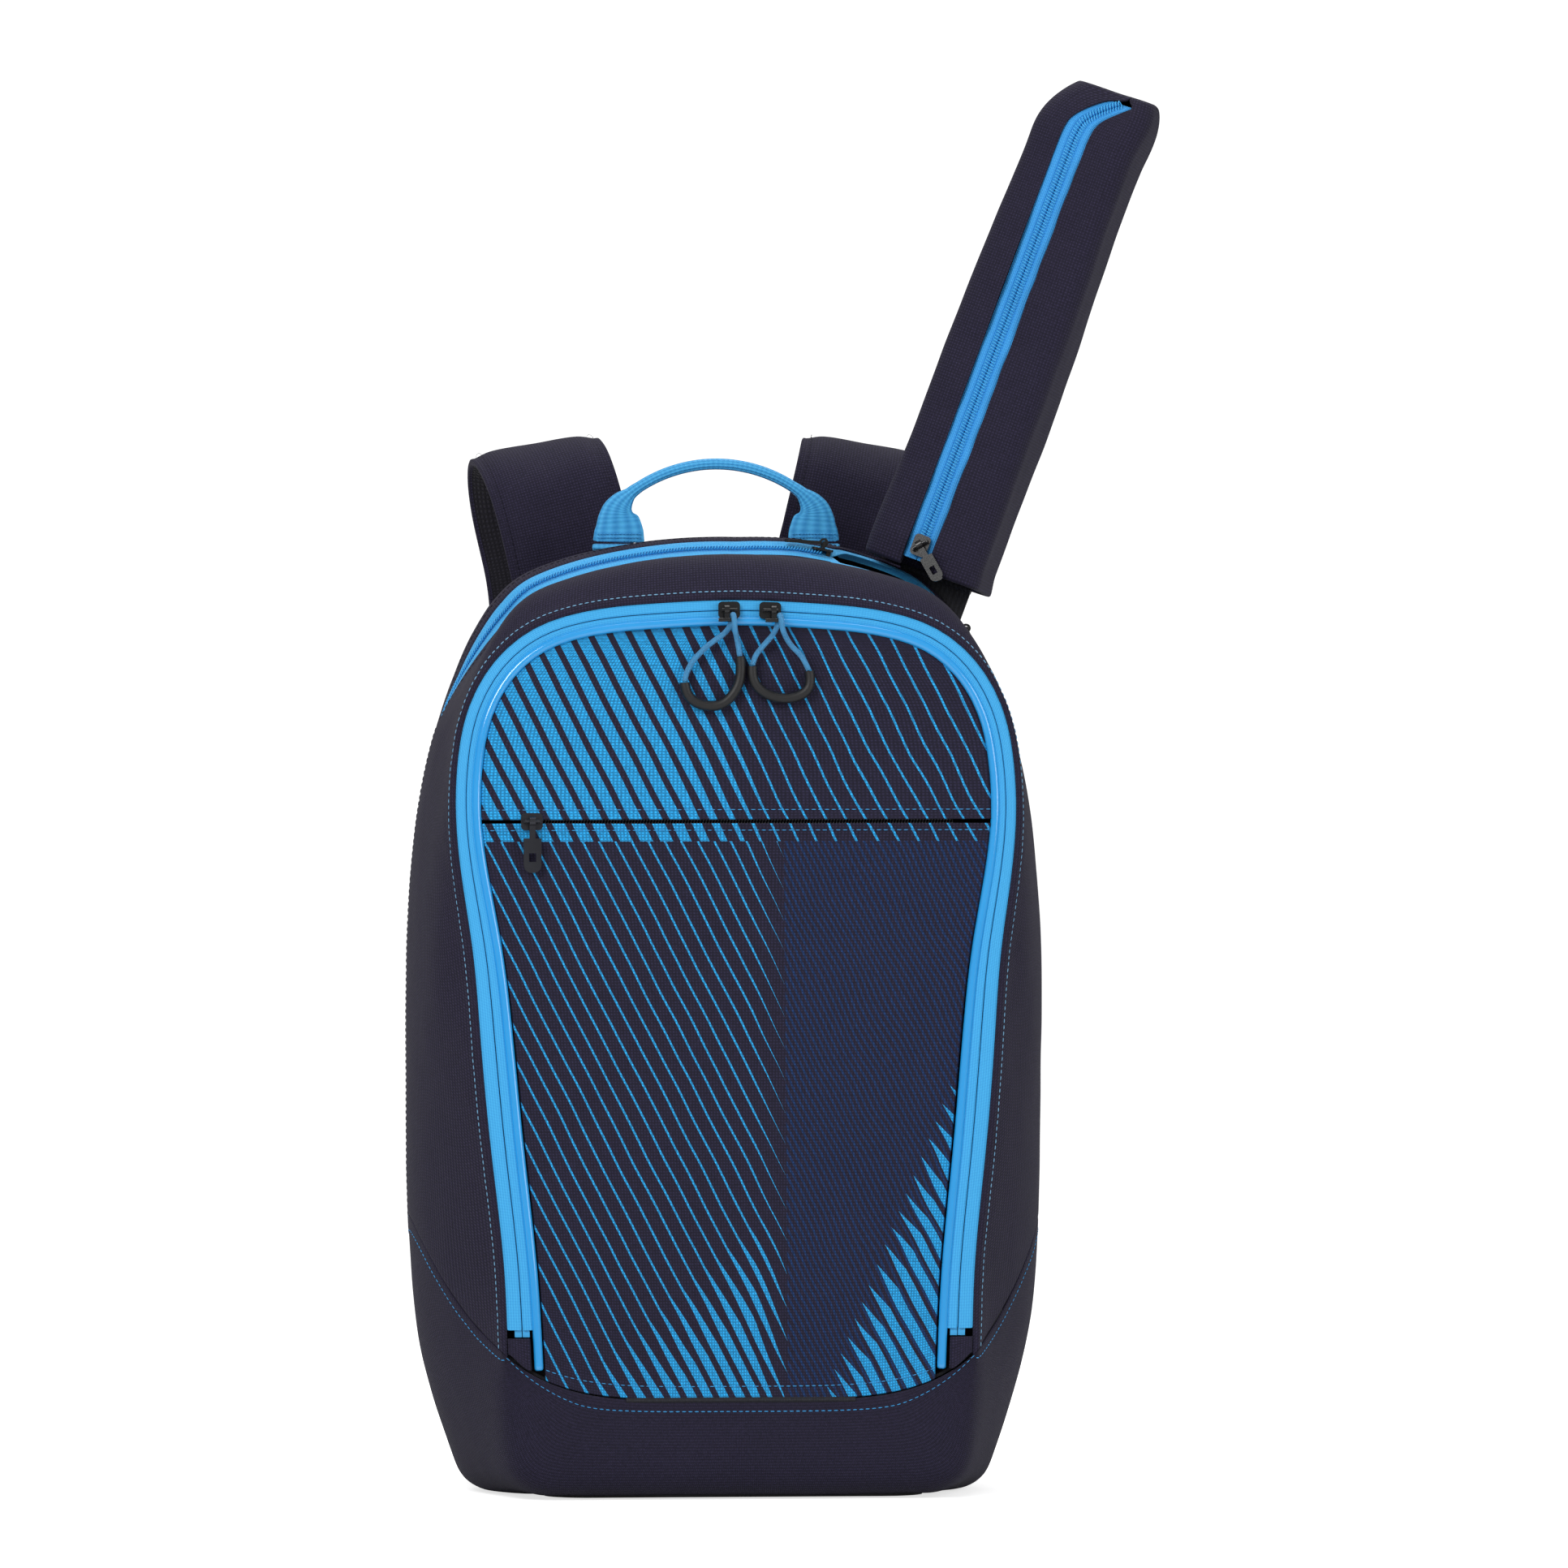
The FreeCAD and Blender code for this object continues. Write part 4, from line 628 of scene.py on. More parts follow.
# woven and ribbed: name, colour, shade, thread or rib pitch and depth in millimetres, roughness
# moulded: name, colour, shade, roughness, spread of the roughness, depth of the unevenness in millimetres
stuff = {
    # heavy plain-weave polyester: near black with a blue-violet cast, matt; its threads are drawn
    # coarser than real, 1.5 mm apart, so that the weave shows
    "polyester": woven("dark_polyester", "282439", "1c192c", 1.5, 0.24, 0.78),
    # the same cloth with screen-printed stripes, so the weave shows through the ink
    "printed_polyester": woven("printed_polyester", "252238", "1b192c", 1.5, 0.22, 0.72,
                               pattern=slanted_stripes),
    # open spacer mesh: soft black with rows of small holes
    "spacer_mesh": woven("spacer_mesh", "222029", "15141a", 2.2, 0.6, 0.9, sheen=0.1),
    # thin smooth taffeta inside the bag; its threads are drawn coarser than real, 0.8 mm apart
    "lining": woven("taffeta_lining", "2a2a30", "222228", 0.8, 0.05, 0.6, laid="Object"),
    # knitted zip tape: light blue with fine lengthways ribs
    "zip_tape": ribbed("knit_zip_tape", "3fb3ec", "2799de", 0.9, 0.12, 0.62, along="Y"),
    # the hood's tape, a stronger blue of the same knit
    "bright_tape": ribbed("knit_hood_tape", "36a6ea", "1c84d4", 0.9, 0.12, 0.62, along="Y"),
    # drawn nylon coil: smooth, with a small highlight on each turn
    "coil_nylon": moulded("blue_coil_nylon", "46b2ee", "3aa2e0", 0.34, 0.1, 0.01),
    # black nylon coil of the small pocket
    "black_coil_nylon": moulded("black_coil_nylon", "1b1b1f", "121216", 0.4, 0.1, 0.01),
    # extruded vinyl: glossy, so that it shows one clean highlight along its length
    "piping_vinyl": moulded("glossy_piping_vinyl", "27a2e8", "2098e0", 0.14, 0.06, 0.02, coat=1.0),
    # black enamel over die-cast zinc: semi-gloss with soft mottling
    "painted_metal": moulded("black_enamel", "09090b", "121215", 0.28, 0.12, 0.02, coat=0.1),
    # gunmetal plating with fine unevenness
    "dark_nickel": moulded("dark_nickel_plate", "4c4d53", "2f3035", 0.32, 0.16, 0.02, metallic=0.9),
    # round braided polyester cord: slanting strands
    "cord_braid": ribbed("braided_cord", "62c6ff", "38a2ee", 1.3, 0.2, 0.6, slant=0.8),
    # matt black moulded rubber
    "grip_rubber": moulded("grip_rubber", "0f0f12", "09090b", 0.5, 0.14, 0.05),
    # woven polyester webbing: cross ribs
    "blue_webbing": ribbed("blue_webbing", "49b2ea", "258bcb", 1.6, 0.28, 0.66),
    # the same webbing in black
    "black_webbing": ribbed("black_webbing", "2a2a30", "16161a", 1.6, 0.28, 0.7),
    # injection-moulded acetal: satin
    "black_acetal": moulded("black_acetal", "1a1a1c", "232326", 0.38, 0.12, 0.02),
    # bonded polyester thread, pale blue against the dark cloth
    "stitching_thread": moulded("pale_blue_thread", "7fb2d4", "5c93bb", 0.5, 0.2, 0.03),
    # the brighter thread of the boot seam, the panels and the handle
    "blue_thread": moulded("blue_thread", "3d9fdd", "2b83c0", 0.5, 0.2, 0.03),
    # grey-brown stiffener board: short mottled fibres
    "fibre_board": moulded("fibre_board", "6b6258", "574f47", 0.85, 0.1, 0.1, stretch=(1, 6, 1)),
}


# ---- camera, lights and ground ------------------------------------------------------------
def camera():
    """Long lens from nearly straight in front, a little towards -X and above."""
    made = bpy.data.objects.new("camera", bpy.data.cameras.new("camera"))
    bpy.context.collection.objects.link(made)
    made.data.lens, made.data.sensor_width = 400.0, 36.0
    made.data.clip_end = 60.0
    azimuth, rise, distance = math.radians(5.7), math.radians(1.2), 8.88
    look = Vector((math.sin(azimuth) * math.cos(rise), math.cos(azimuth) * math.cos(rise), -math.sin(rise)))
    target = Vector((32.7, 15.0, 358.0)) * MM
    made.location = target - look * distance
    made.rotation_euler = look.to_track_quat("-Z", "Y").to_euler()
    bpy.context.scene.camera = made


def area_light(name, place, target, size, power):
    """Square soft lamp that faces its target; metres and watts."""
    data = bpy.data.lights.new(name, "AREA")
    data.size, data.energy = size, power
    made = bpy.data.objects.new(name, data)
    bpy.context.collection.objects.link(made)
    made.location = place
    made.rotation_euler = (Vector(target) - Vector(place)).to_track_quat("-Z", "Y").to_euler()


def studio():
    """Three soft lamps and a plain pale room."""
    middle = (0.0, 0.0, 0.3)
    area_light("key", (-1.4, -2.2, 1.9), middle, 1.3, 46.0)
    area_light("fill", (2.0, -1.8, 1.1), middle, 1.3, 18.0)
    area_light("top", (0.2, 0.6, 2.6), middle, 1.8, 26.0)
    world = bpy.data.worlds.new("soft_room")
    world.use_nodes = True
    tree = world.node_tree
    tree.nodes.clear()
    seen = add(tree, "LightPath", give="Is Camera Ray")
    # the room lights the bag at 0.38, and the camera sees it 0.74 brighter, as white
    strength = add(tree, "Math", (seen, 0.74, 0.38), operation="MULTIPLY_ADD")
    back = add(tree, "Background", {"Color": (1, 1, 1, 1), "Strength": strength})
    add(tree, "OutputWorld", {"Surface": back})
    bpy.context.scene.world = world
    bpy.context.scene.view_settings.view_transform = "Standard"


def ground():
    """Pale floor a hair under the bag, which runs back out of sight."""
    mesh = bpy.data.meshes.new("floor")
    height = -0.0006
    corners = [(-8, -4, height), (8, -4, height), (8, 12, height), (-8, 12, height)]
    mesh.from_pydata(corners, [], [(0, 1, 2, 3)])
    made = bpy.data.objects.new("floor", mesh)
    bpy.context.collection.objects.link(made)
    material, tree = begin("white_floor")
    # seamless white paper: bright itself where the camera sees it, and it still takes the soft shadow
    paper = add(tree, "BsdfDiffuse", {"Color": (0.86, 0.86, 0.86, 1)})
    glow = add(tree, "Emission", {"Color": (1, 1, 1, 1), "Strength": 0.7})
    shared = add(tree, "AddShader", (paper, glow))
    seen = add(tree, "LightPath", give="Is Camera Ray")
    both = add(tree, "MixShader", (seen, paper, shared))
    add(tree, "OutputMaterial", {"Surface": both})
    mesh.materials.append(material)


# ---- cords --------------------------------------------------------------------------------
cord_radius, grip_radius = 1.4, 2.6
tab_bar_radius, tab_neck = 1.0, 2.4
cord_end_gap = 0.6                   # between the cord's cut end and the grip's end
wrap = tab_bar_radius + cord_radius + 0.15    # from the tab's cross bar to the middle of the cord round it
beside = tab_neck / 2 + cord_radius + 0.2     # from the tab's middle to the cord beside its neck
grip_out = 3.2                       # how far a grip's middle lies in front of the panel
# for each loop its hitch on the cross bar, the cord's route as right, up and out from there, and the
# grip's as right and up
cord_routes = {
    "left": ((-4.8, -72.170, 442.757),
             [(-21.4, -31.5, 3.2), (-20.6, -24.5, 3.2), (-10.5, -13.0, 3.4), (1.2, -5.5, -wrap),
              (beside, wrap, -wrap), (beside + 0.4, wrap, wrap), (3.6, -5.0, wrap), (5.6, -11.5, 4.6),
              (6.8, -18.5, 3.2)],
             [(-21.4, -31.5), (-21.0, -37.5), (-13.5, -43.2), (-2.5, -43.4), (5.0, -35.5), (7.6, -26.0),
              (6.8, -18.5)]),
    "right": ((19.0, -72.192, 442.415),
              [(-10.8, -23.0, 3.2), (-9.8, -18.0, 3.2), (-5.2, -12.5, 3.6), (1.2, -5.5, -wrap),
               (beside, wrap, -wrap), (beside + 0.4, wrap, wrap), (3.8, -5.0, wrap), (8.4, -12.5, 4.6),
               (15.2, -18.5, 3.2), (18.0, -25.5, 3.2)],
              [(-10.8, -23.0), (-11.3, -29.5), (-5.5, -36.6), (4.5, -39.8), (14.5, -37.8), (19.2, -32.0),
               (18.0, -25.5)]),
}
lean_size = math.hypot(1, front_lean)
plane_up = np.array([0, front_lean, 1]) / lean_size
plane_out = np.array([0, -1, front_lean]) / lean_size


def on_panel(hitch, place):
    """Point given as right, up and out from the hitch; out is from the panel unless it is a wrap."""
    right, up, out = place
    hitch = np.array(hitch)
    hitch_out = float((hitch - np.array([0, front_y(hitch[2]), hitch[2]])) @ plane_out)
    step = out if abs(out) == wrap else out - hitch_out
    return hitch + np.array([right, 0, 0]) + plane_up * up + plane_out * step


def curve_piece(name, points, radius, material, body):
    """Round cord: a smooth curve through its control points with a circular section, in metres."""
    data = bpy.data.curves.new(name, "CURVE")
    data.dimensions = "3D"
    data.bevel_depth, data.bevel_resolution = radius * MM, 5
    line = data.splines.new("NURBS")
    line.points.add(len(points) - 1)
    for spot, place in zip(line.points, points):
        spot.co = (*[c * MM for c in place], 1.0)
    line.order_u = 3
    line.use_endpoint_u = True
    line.resolution_u = 10
    data.materials.append(material)
    made = bpy.data.objects.new(name, data)
    bpy.context.collection.objects.link(made)
    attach(made, body)
    return made


def as_mesh(drawn, body):
    """The drawn curve's surface as a mesh piece of the same name."""
    surface = bpy.data.meshes.new_from_object(drawn.evaluated_get(bpy.context.evaluated_depsgraph_get()))
    name = drawn.name
    bpy.data.objects.remove(drawn)
    made = bpy.data.objects.new(name, surface)
    bpy.context.collection.objects.link(made)
    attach(made, body)
    return made


def cords():
    """Cord loops of the front zip's pulls, each with a moulded grip at its foot."""
    for side, (hitch, route, grip_route) in cord_routes.items():
        body = "front_loop_" + side
        grip_points = [on_panel(hitch, (right, up, grip_out)) for right, up in grip_route]
        drawn = curve_piece("grip_" + side, grip_points, grip_radius, stuff["grip_rubber"], body)
        drawn.data.use_fill_caps = True
        grip = as_mesh(drawn, body)
        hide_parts("front_grip_" + side)
        points = [on_panel(hitch, place) for place in route]
        for end, beyond in ((0, 1), (-1, -2)):
            step = points[beyond] - points[end]
            points[end] = points[end] + unit(step) * cord_end_gap
        cord = curve_piece("cord_" + side, points, cord_radius, stuff["cord_braid"], body)
        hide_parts("front_cord_" + side)


# ---- the bag's cloth ----------------------------------------------------------------------
def soft(grid, amount=1.0, seed=0.0, fade=4):
    """The grid with the cloth's slack added, fading out towards its first and last rows."""
    heights = softness(grid, seed=seed) * amount
    rows = np.arange(grid.shape[0])
    edge = np.clip(np.minimum(rows, rows[::-1]) / fade, 0, 1)
    return grid + normals_of(grid) * (heights * edge[:, None])[..., None]


def rim_half(x, margin=5.0):
    """Half the width of the mouth's lens at x, with a margin round it; below the zip's half elsewhere."""
    reach, rise = mouth_half_length + margin, mouth_half_width + margin
    radius = (reach ** 2 + rise ** 2) / (2 * rise)
    inside = radius ** 2 - (x - mouth_x) ** 2
    return np.where(np.abs(x - mouth_x) < reach, np.sqrt(np.maximum(inside, 0)) - (radius - rise), 0.0)


def trimmed(rows, to_y, forward):
    """Rows whose columns are cut short at the depth to_y(x), keeping the front or the rear part."""
    rows = rows.copy()
    for j in range(rows.shape[1]):
        column = rows[:, j].copy()
        x, z = column[-1 if forward else 0][[0, 2]]
        if z < 0.7 * body_top:
            continue
        limit = float(to_y(x))
        ends = (column[0, 1], limit) if forward else (limit, column[-1, 1])
        share = (column[:, 1] - column[0, 1]) / (column[-1, 1] - column[0, 1])
        depths = ends[0] + share * (ends[1] - ends[0])
        order = column if column[0, 1] < column[-1, 1] else column[::-1]
        rows[:, j] = np.stack([np.interp(depths, order[:, 1], order[:, k]) for k in range(3)], axis=1)
    return rows


def band_piece():
    """Side band of the front section, from the front zip back to the main zip."""
    rows = np.array([above_seam(row) for row in skin[:band_rows + 1]])
    rows = trimmed(rows, lambda x: zip_y - max(main_zip_width / 2, float(rim_half(x))), True)
    inner, outer = zip_outline(0.0), skin[0][:, [0, 2]]
    edges = []
    for share, out in ((0.0, -2.2), (0.0, -0.6), (0.25, 0.35), (0.75, 0.35)):
        edges.append(above_seam(on_front(inner + (outer - inner) * share, out)))
    relaxed = puckered(soft(rows, 1.0, seed=3.0), 3, 0.35, 9.0)
    grid = np.concatenate([np.array(edges), relaxed])
    made = grid_piece("front_band_cloth", grid, stuff["polyester"], "front_section", thickness=1.6)
    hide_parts("front_band")
    normals = normals_of(relaxed)
    stitches("band_topstitch", relaxed[1], normals[1], stuff["stitching_thread"], "front_section")
    stitches("band_rear_topstitch", relaxed[-3], normals[-3], stuff["polyester"], "front_section",
             radius=0.25)


def puckered(grid, row, depth, pitch):
    """Small gathers beside a seam: the cloth dips between the stitches near the given row."""
    grid = grid.copy()
    normals = normals_of(grid)
    for i in range(len(grid)):
        fade = math.exp(-((i - row) / 2.5) ** 2)
        if fade < 0.03:
            continue
        wave = np.array([noise.noise(Vector((run / pitch, i * 0.15, 7.3))) for run in run_along(grid[i])])
        grid[i] += normals[i] * (depth * fade * wave)[:, None]
    return grid


def rear_gusset_piece():
    """Side and top of the bag behind the main zip, with its hem turned in at the back."""
    rows = np.array([above_seam(row) for row in skin[gusset_start:]])
    rows = trimmed(rows, lambda x: zip_y + max(main_zip_width / 2, float(rim_half(x))), False)
    relaxed = soft(rows, 1.0, seed=9.0)
    normals = normals_of(relaxed)
    first = relaxed[0] - normals[0] * 1.6
    inner = rows[-1].copy()
    inner[:, 0] *= 0.985
    inner[:, 2] = np.where(inner[:, 2] > 300, inner[:, 2] - 2.5, inner[:, 2])
    grid = np.concatenate([[first], relaxed, [inner]])
    made = grid_piece("rear_gusset_cloth", grid, stuff["polyester"], "root", thickness=1.6)
    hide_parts("rear_gusset")
    stitches("gusset_topstitch", relaxed[2], normals[2], stuff["polyester"], "root", radius=0.25)


def collapsed(row, y_of, steps, toward):
    """Rows that run from an open U-shaped row up to the boot's seam line on the same flat face."""
    ends = row[0][0], row[-1][0]
    run = run_along(row)
    share = 0.5 * np.linspace(0, 1, len(row)) + 0.5 * run / run[-1]
    x = ends[0] + (ends[1] - ends[0]) * share
    z = seam_z(x)
    line = np.stack([x, [y_of(v) for v in z], z], axis=1)
    rows = []
    for k in range(1, steps + 1):
        mixed_row = row + (line - row) * (k / steps)
        mixed_row[:, 1] = [y_of(v) for v in mixed_row[:, 2]]
        rows.append(mixed_row)
    return rows if toward else rows[::-1]


def boot_piece():
    """Lower shell: front, sides, floor and back in one cloth, with a topstitched rim."""
    rows = lower_rows(skin)
    front = collapsed(rows[0], front_y, 16, False)
    back = collapsed(rows[-1], lambda z: back_y, 12, True)
    grid = rounded_foot(np.concatenate([front, rows, back]))
    grid = eased(grid, 16, 7)
    under = (np.abs(grid[..., 0]) < 97) & (grid[..., 2] < 1.2) & (grid[..., 1] > -77) & (grid[..., 1] < 70)
    grid[..., 2] = np.where(under, 1.0, grid[..., 2])
    relaxed = soft(grid[:, ::-1], 0.8, seed=5.0, fade=2)
    relaxed[..., 2] = np.maximum(relaxed[..., 2], 0.1)
    made = grid_piece("boot_cloth", relaxed, stuff["polyester"], "root", thickness=1.6)
    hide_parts("boot")
    normals = normals_of(relaxed)
    edge = 2
    path = np.concatenate([relaxed[:edge:-1, -1 - edge][-200:], relaxed[edge, -1 - edge:edge:-1],
                           relaxed[edge:, edge]])
    outs = np.concatenate([normals[:edge:-1, -1 - edge][-200:], normals[edge, -1 - edge:edge:-1],
                           normals[edge:, edge]])
    stitches("boot_topstitch", path, outs, stuff["blue_thread"], "root", radius=0.3)


def eased(grid, middle, reach):
    """Rounds off a fold of the grid that runs along the row given."""
    grid = grid.copy()
    for _ in range(26):
        fold = slice(middle - reach, middle + reach + 1)
        before, after = grid[middle - reach - 1:middle + reach], grid[middle - reach + 1:middle + reach + 2]
        grid[fold] = 0.5 * grid[fold] + 0.25 * (before + after)
    return grid


def back_piece():
    """Flat back panel under the pads, with rows from side to side between matching outline points."""
    edge = outline(main_arch.points(9.0 + 0.6))
    half = len(edge) // 2
    columns, lowest_row, hem_rows = 60, 60.0, 6
    y = np.full(columns, back_y - 0.6)
    rows = []
    for k in range(0, half + 1, 2):
        left, right = edge[half - k], edge[half + k]
        if left[1] < lowest_row:
            break
        across = np.linspace(0, 1, columns)
        x = left[0] + (right[0] - left[0]) * across
        z = left[1] + (right[1] - left[1]) * across
        rows.append(np.stack([x, y, np.maximum(z, seam_z(x) + 0.3)], axis=1))
    x, start = rows[-1][:, 0], rows[-1]
    # the hem tucks in behind the boot's edge
    hem = np.stack([x, y, np.minimum(start[:, 2], seam_z(x)) - 0.4], axis=1)
    rows += [start + (hem - start) * k / hem_rows for k in range(1, hem_rows + 1)]
    made = grid_piece("back_panel_cloth", np.array(rows), stuff["polyester"], "root", thickness=1.4)
    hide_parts("back_panel")


def panel_rows(z_low, z_high):
    """Rows of the front panel between two heights; the lowest rows bend to follow the boot's seam."""
    edge = zip_outline(1.2)      # its edge lies under the piping
    half = len(edge) // 2
    seam_gap, row_reach, bend_height = 0.4, 1.2, 45.0
    rows = []
    for x, z in even(edge[half:], 420):
        if z <= seam_z(x) + seam_gap:
            break
        if z_low - row_reach <= z <= z_high + row_reach:
            rows.append((x, min(max(z, z_low), z_high)))
    floor_z = rows[-1][1]
    start_z = floor_z + bend_height
    grid = []
    for half_x, z in rows:
        x = np.linspace(-half_x, half_x, panel_columns)
        place = np.full(panel_columns, z)
        if z_low < stash_zip_z and z < start_z:
            share_up = (z - floor_z) / (start_z - floor_z)
            low = seam_z(x) + seam_gap
            place = low + (start_z - low) * share_up
        grid.append(np.stack([x, front_y(place), place], axis=1))
    return np.array(grid)[::-1]


# soft dents pressed into the panels: middle, direction, half length and half width in millimetres
crease_places = [(62, 398, -0.5, 30, 5.0), (80, 376, -0.35, 34, 5.5), (36, 420, -0.6, 20, 4.5),
                 (-60, 385, 0.5, 34, 7.0), (70, 300, -0.4, 50, 8.0), (-70, 200, 0.9, 55, 9.0),
                 (60, 150, -0.8, 50, 9.0), (95, 240, 1.4, 45, 7.0), (-20, 270, 0.7, 40, 8.0)]


def printed_panels():
    """Printed front above and below the small pocket, with slack, creases and stitching."""
    for name, low, high in (("upper_panel", stash_zip_z + lip_gap, body_top),
                            ("lower_panel", 0.0, stash_zip_z - lip_gap)):
        is_lower = name == "lower_panel"
        rows = panel_rows(low, high)
        x, z = rows[..., 0], rows[..., 2]
        slack = softness(rows, 0.9, 0.12, seed=2.0)
        creases = np.zeros_like(slack)
        for middle_x, middle_z, angle, wide, tall in crease_places:
            along = (x - middle_x) * math.cos(angle) + (z - middle_z) * math.sin(angle)
            across = -(x - middle_x) * math.sin(angle) + (z - middle_z) * math.cos(angle)
            creases += np.exp(-(along / wide) ** 2 - (across / tall) ** 2)
        place = np.arange(len(rows))
        edge = np.minimum(1, np.minimum(place, place[::-1])[:, None] / 5)
        rows[..., 1] += 0.2 + (0.9 - slack * 0.8 + creases * 1.5) * edge
        # both lips of the small pocket rise a little over its zip
        rows[..., 1] -= 1.1 * np.clip(1 - np.abs(z - stash_zip_z) / 7.0, 0, 1)
        made = grid_piece(name + "_cloth", rows, stuff["printed_polyester"], "front_flap", thickness=1.4)
        # the print is on the outside only
        made.data.materials.append(stuff["lining"])
        made.modifiers["cloth thickness"].material_offset = 1
        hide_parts(name)
        outs = facing(forwards, panel_columns)
        stitches(name + "_pocket_stitch", rows[len(rows) - 4 if is_lower else 4], outs, stuff["blue_thread"],
                 "front_flap", pitch=3.4, radius=0.24)
        if is_lower:
            stitches("lower_panel_hem_stitch", rows[4], outs, stuff["blue_thread"], "front_flap", radius=0.25)


# each tape's lines as share of the way across the zip, and millimetres in front of the bag's front plane
front_tapes = {
    "outer": ("front_section", ((0.0, -1.0), (0.06, -0.5), (0.2, -0.35), (0.34, -0.25), (0.43, 0.1),
                                (0.485, -0.7))),
    "inner": ("front_flap", ((0.515, -0.7), (0.57, 0.1), (0.64, -0.2), (0.7, -0.35), (0.78, -0.5),
                             (0.9, -0.9))),
}


def front_zip():
    """Both knitted tapes of the front zip."""
    for half_name, (body, places) in front_tapes.items():
        lines = [on_front(zip_outline(share), out) for share, out in places]
        grid = np.array([even(line[line[:, 2] >= garage_top_z], 460) for line in lines])
        made = grid_piece("front_tape_" + half_name, grid, stuff["zip_tape"], body)
        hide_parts("front_zip_tape_" + half_name)


def piping():
    """Glossy cord that edges the printed front."""
    line = on_front(zip_outline(1.0), -piping_y)
    clear = seam_z(line[:, 0]) + 3.0
    line = even(line[line[:, 2] > clear], 420)
    made = sweep("piping_tube", line, facing(plane_out, len(line)), round_section(piping_radius, 12),
                 stuff["piping_vinyl"], "front_flap", smooth=1)
    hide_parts("panel_piping")


def garages():
    """Cloth covers over the lower ends of the front zip."""
    for side in (-1, 1):
        rows = []
        for share, out in ((0.02, -0.6), (0.08, 0.5), (0.3, 0.8), (0.6, 0.8), (0.68, 0.5), (0.72, -0.8)):
            line = on_front(zip_outline(share), out)
            x, z = line[:, 0], line[:, 2]
            keep = (x * side > 0) & (z < garage_top_z + 1) & (z > seam_z(x) + 0.2)
            rows.append(even(line[keep], 14))
        made = grid_piece("zip_garage_" + side_names[side], np.array(rows), stuff["polyester"],
                          "front_section", thickness=0.8)
        if side > 0:
            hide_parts("zip_garages")


# ---- zips ---------------------------------------------------------------------------------
def coil_rows(name, path, normals, side, material, body, wire=0.36):
    """One wound half of a coil zip: a wire that loops round beside the path, side -1 or 1."""
    count = int(run_along(path)[-1] / coil_pitch) * turn_points + 1
    line, outs = even(path, count), even(normals, count)
    across = np.cross(unit(np.gradient(line, axis=0)), outs)
    angle = 2 * math.pi * np.arange(count) / turn_points + (math.pi if side > 0 else 0)
    centre = line + across * (side * (coil_half + 0.22))
    wound = (centre + across * (coil_half * np.cos(angle))[:, None]
             + outs * (coil_rise * np.sin(angle))[:, None])
    return sweep(name, wound, outs, round_section(wire, 5), material, body)


def main_zip():
    """Tapes and coils of the zip over the top; the tapes bow round the mouth under the hood."""
    middle, outwards = zip_line()
    line = at_depth(middle, zip_y)
    normals = np.stack([outwards[:, 0], np.zeros(len(line)), outwards[:, 1]], axis=1)
    above = line[:, 2] > seam_z(line[:, 0]) + 0.5
    # the zip stands open between its two sliders, where the hood comes out
    left_end, right_start, right_top = 54.0, 131.0, 440.0
    on_right = (line[:, 0] > 0) & (line[:, 2] < right_top)
    left = above & (line[:, 0] < left_end) & ~on_right
    right = above & (line[:, 0] > right_start) & (line[:, 2] < right_top)
    for run_name, keep in (("left", left), ("right", right)):
        path, outs = line[keep], normals[keep]
        for half_name, side, body in (("front", 1, "front_section"), ("rear", -1, "root")):
            made = coil_rows(f"main_coil_{half_name}_{run_name}", path, outs, side, stuff["coil_nylon"], body)
            if run_name == "left":
                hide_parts("main_zip_coil_" + half_name)
    for half_name, sign, body in (("front", -1, "front_section"), ("rear", 1, "root")):
        path, outs = line[above], normals[above]
        x = path[:, 0]
        top = path[:, 2] > 0.7 * body_top
        lens = np.where(top, rim_half(x, 0.0), 0.0)
        rim = np.where(top, rim_half(x, 5.0), 0.0)
        near = np.maximum(0.12, lens)
        wide = np.maximum(main_zip_width / 2 + 0.3, rim + 0.3)
        rows = []
        for share, out in ((0.0, -1.3), (0.02, -0.75), (0.4, -0.7), (0.48, 0.0), (0.75, 0.05), (1.0, -0.35)):
            reach = near + (wide - near) * share
            tilt = sign * tilt_at(path[:, 2]) * np.minimum(reach / 7, 1)
            rows.append(path + outs * (out + tilt)[:, None] + np.outer(sign * reach, backwards))
        # the sewn edge is tucked in under the cloth, deeper at the mouth
        tucked = tilt - 0.35 - 3.6 * np.clip(lens / 2, 0, 1)
        rows.append(path + outs * tucked[:, None] + np.outer(sign * (wide + 0.5), backwards))
        grid = np.array(rows)[::sign]
        made = grid_piece("main_tape_" + half_name, grid, stuff["zip_tape"], body)
        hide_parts("main_zip_tape_" + half_name)


def stash_zip():
    """Zip of the small pocket across the printed front."""
    columns = 120
    left_end, right_end = -105.8, front_half_width - 2 * zip_side_width - piping_radius - 1.0
    x = np.linspace(left_end, right_end, columns)
    z = np.full(columns, stash_zip_z)
    path = np.stack([x, front_y(z) + 0.9, z], axis=1)
    outs = facing(plane_out, columns)
    for name, side in (("upper", -1), ("lower", 1)):
        made = coil_rows("stash_coil_" + name, path, outs, side, stuff["black_coil_nylon"], "front_flap",
                         wire=0.33)
        if side > 0:
            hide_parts("stash_zip_coil")
        rows = []
        for k in range(5):
            height = stash_zip_z - side * (1.5 + 2.9 * k)
            y = front_y(height) + 1.9 + 0.1 * k
            rows.append(np.stack([x, np.full(columns, y), np.full(columns, height)], axis=1))
        tape = grid_piece("stash_tape_" + name, np.array(rows)[::-side], stuff["black_webbing"], "front_flap")
        if side > 0:
            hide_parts("stash_zip_tape")


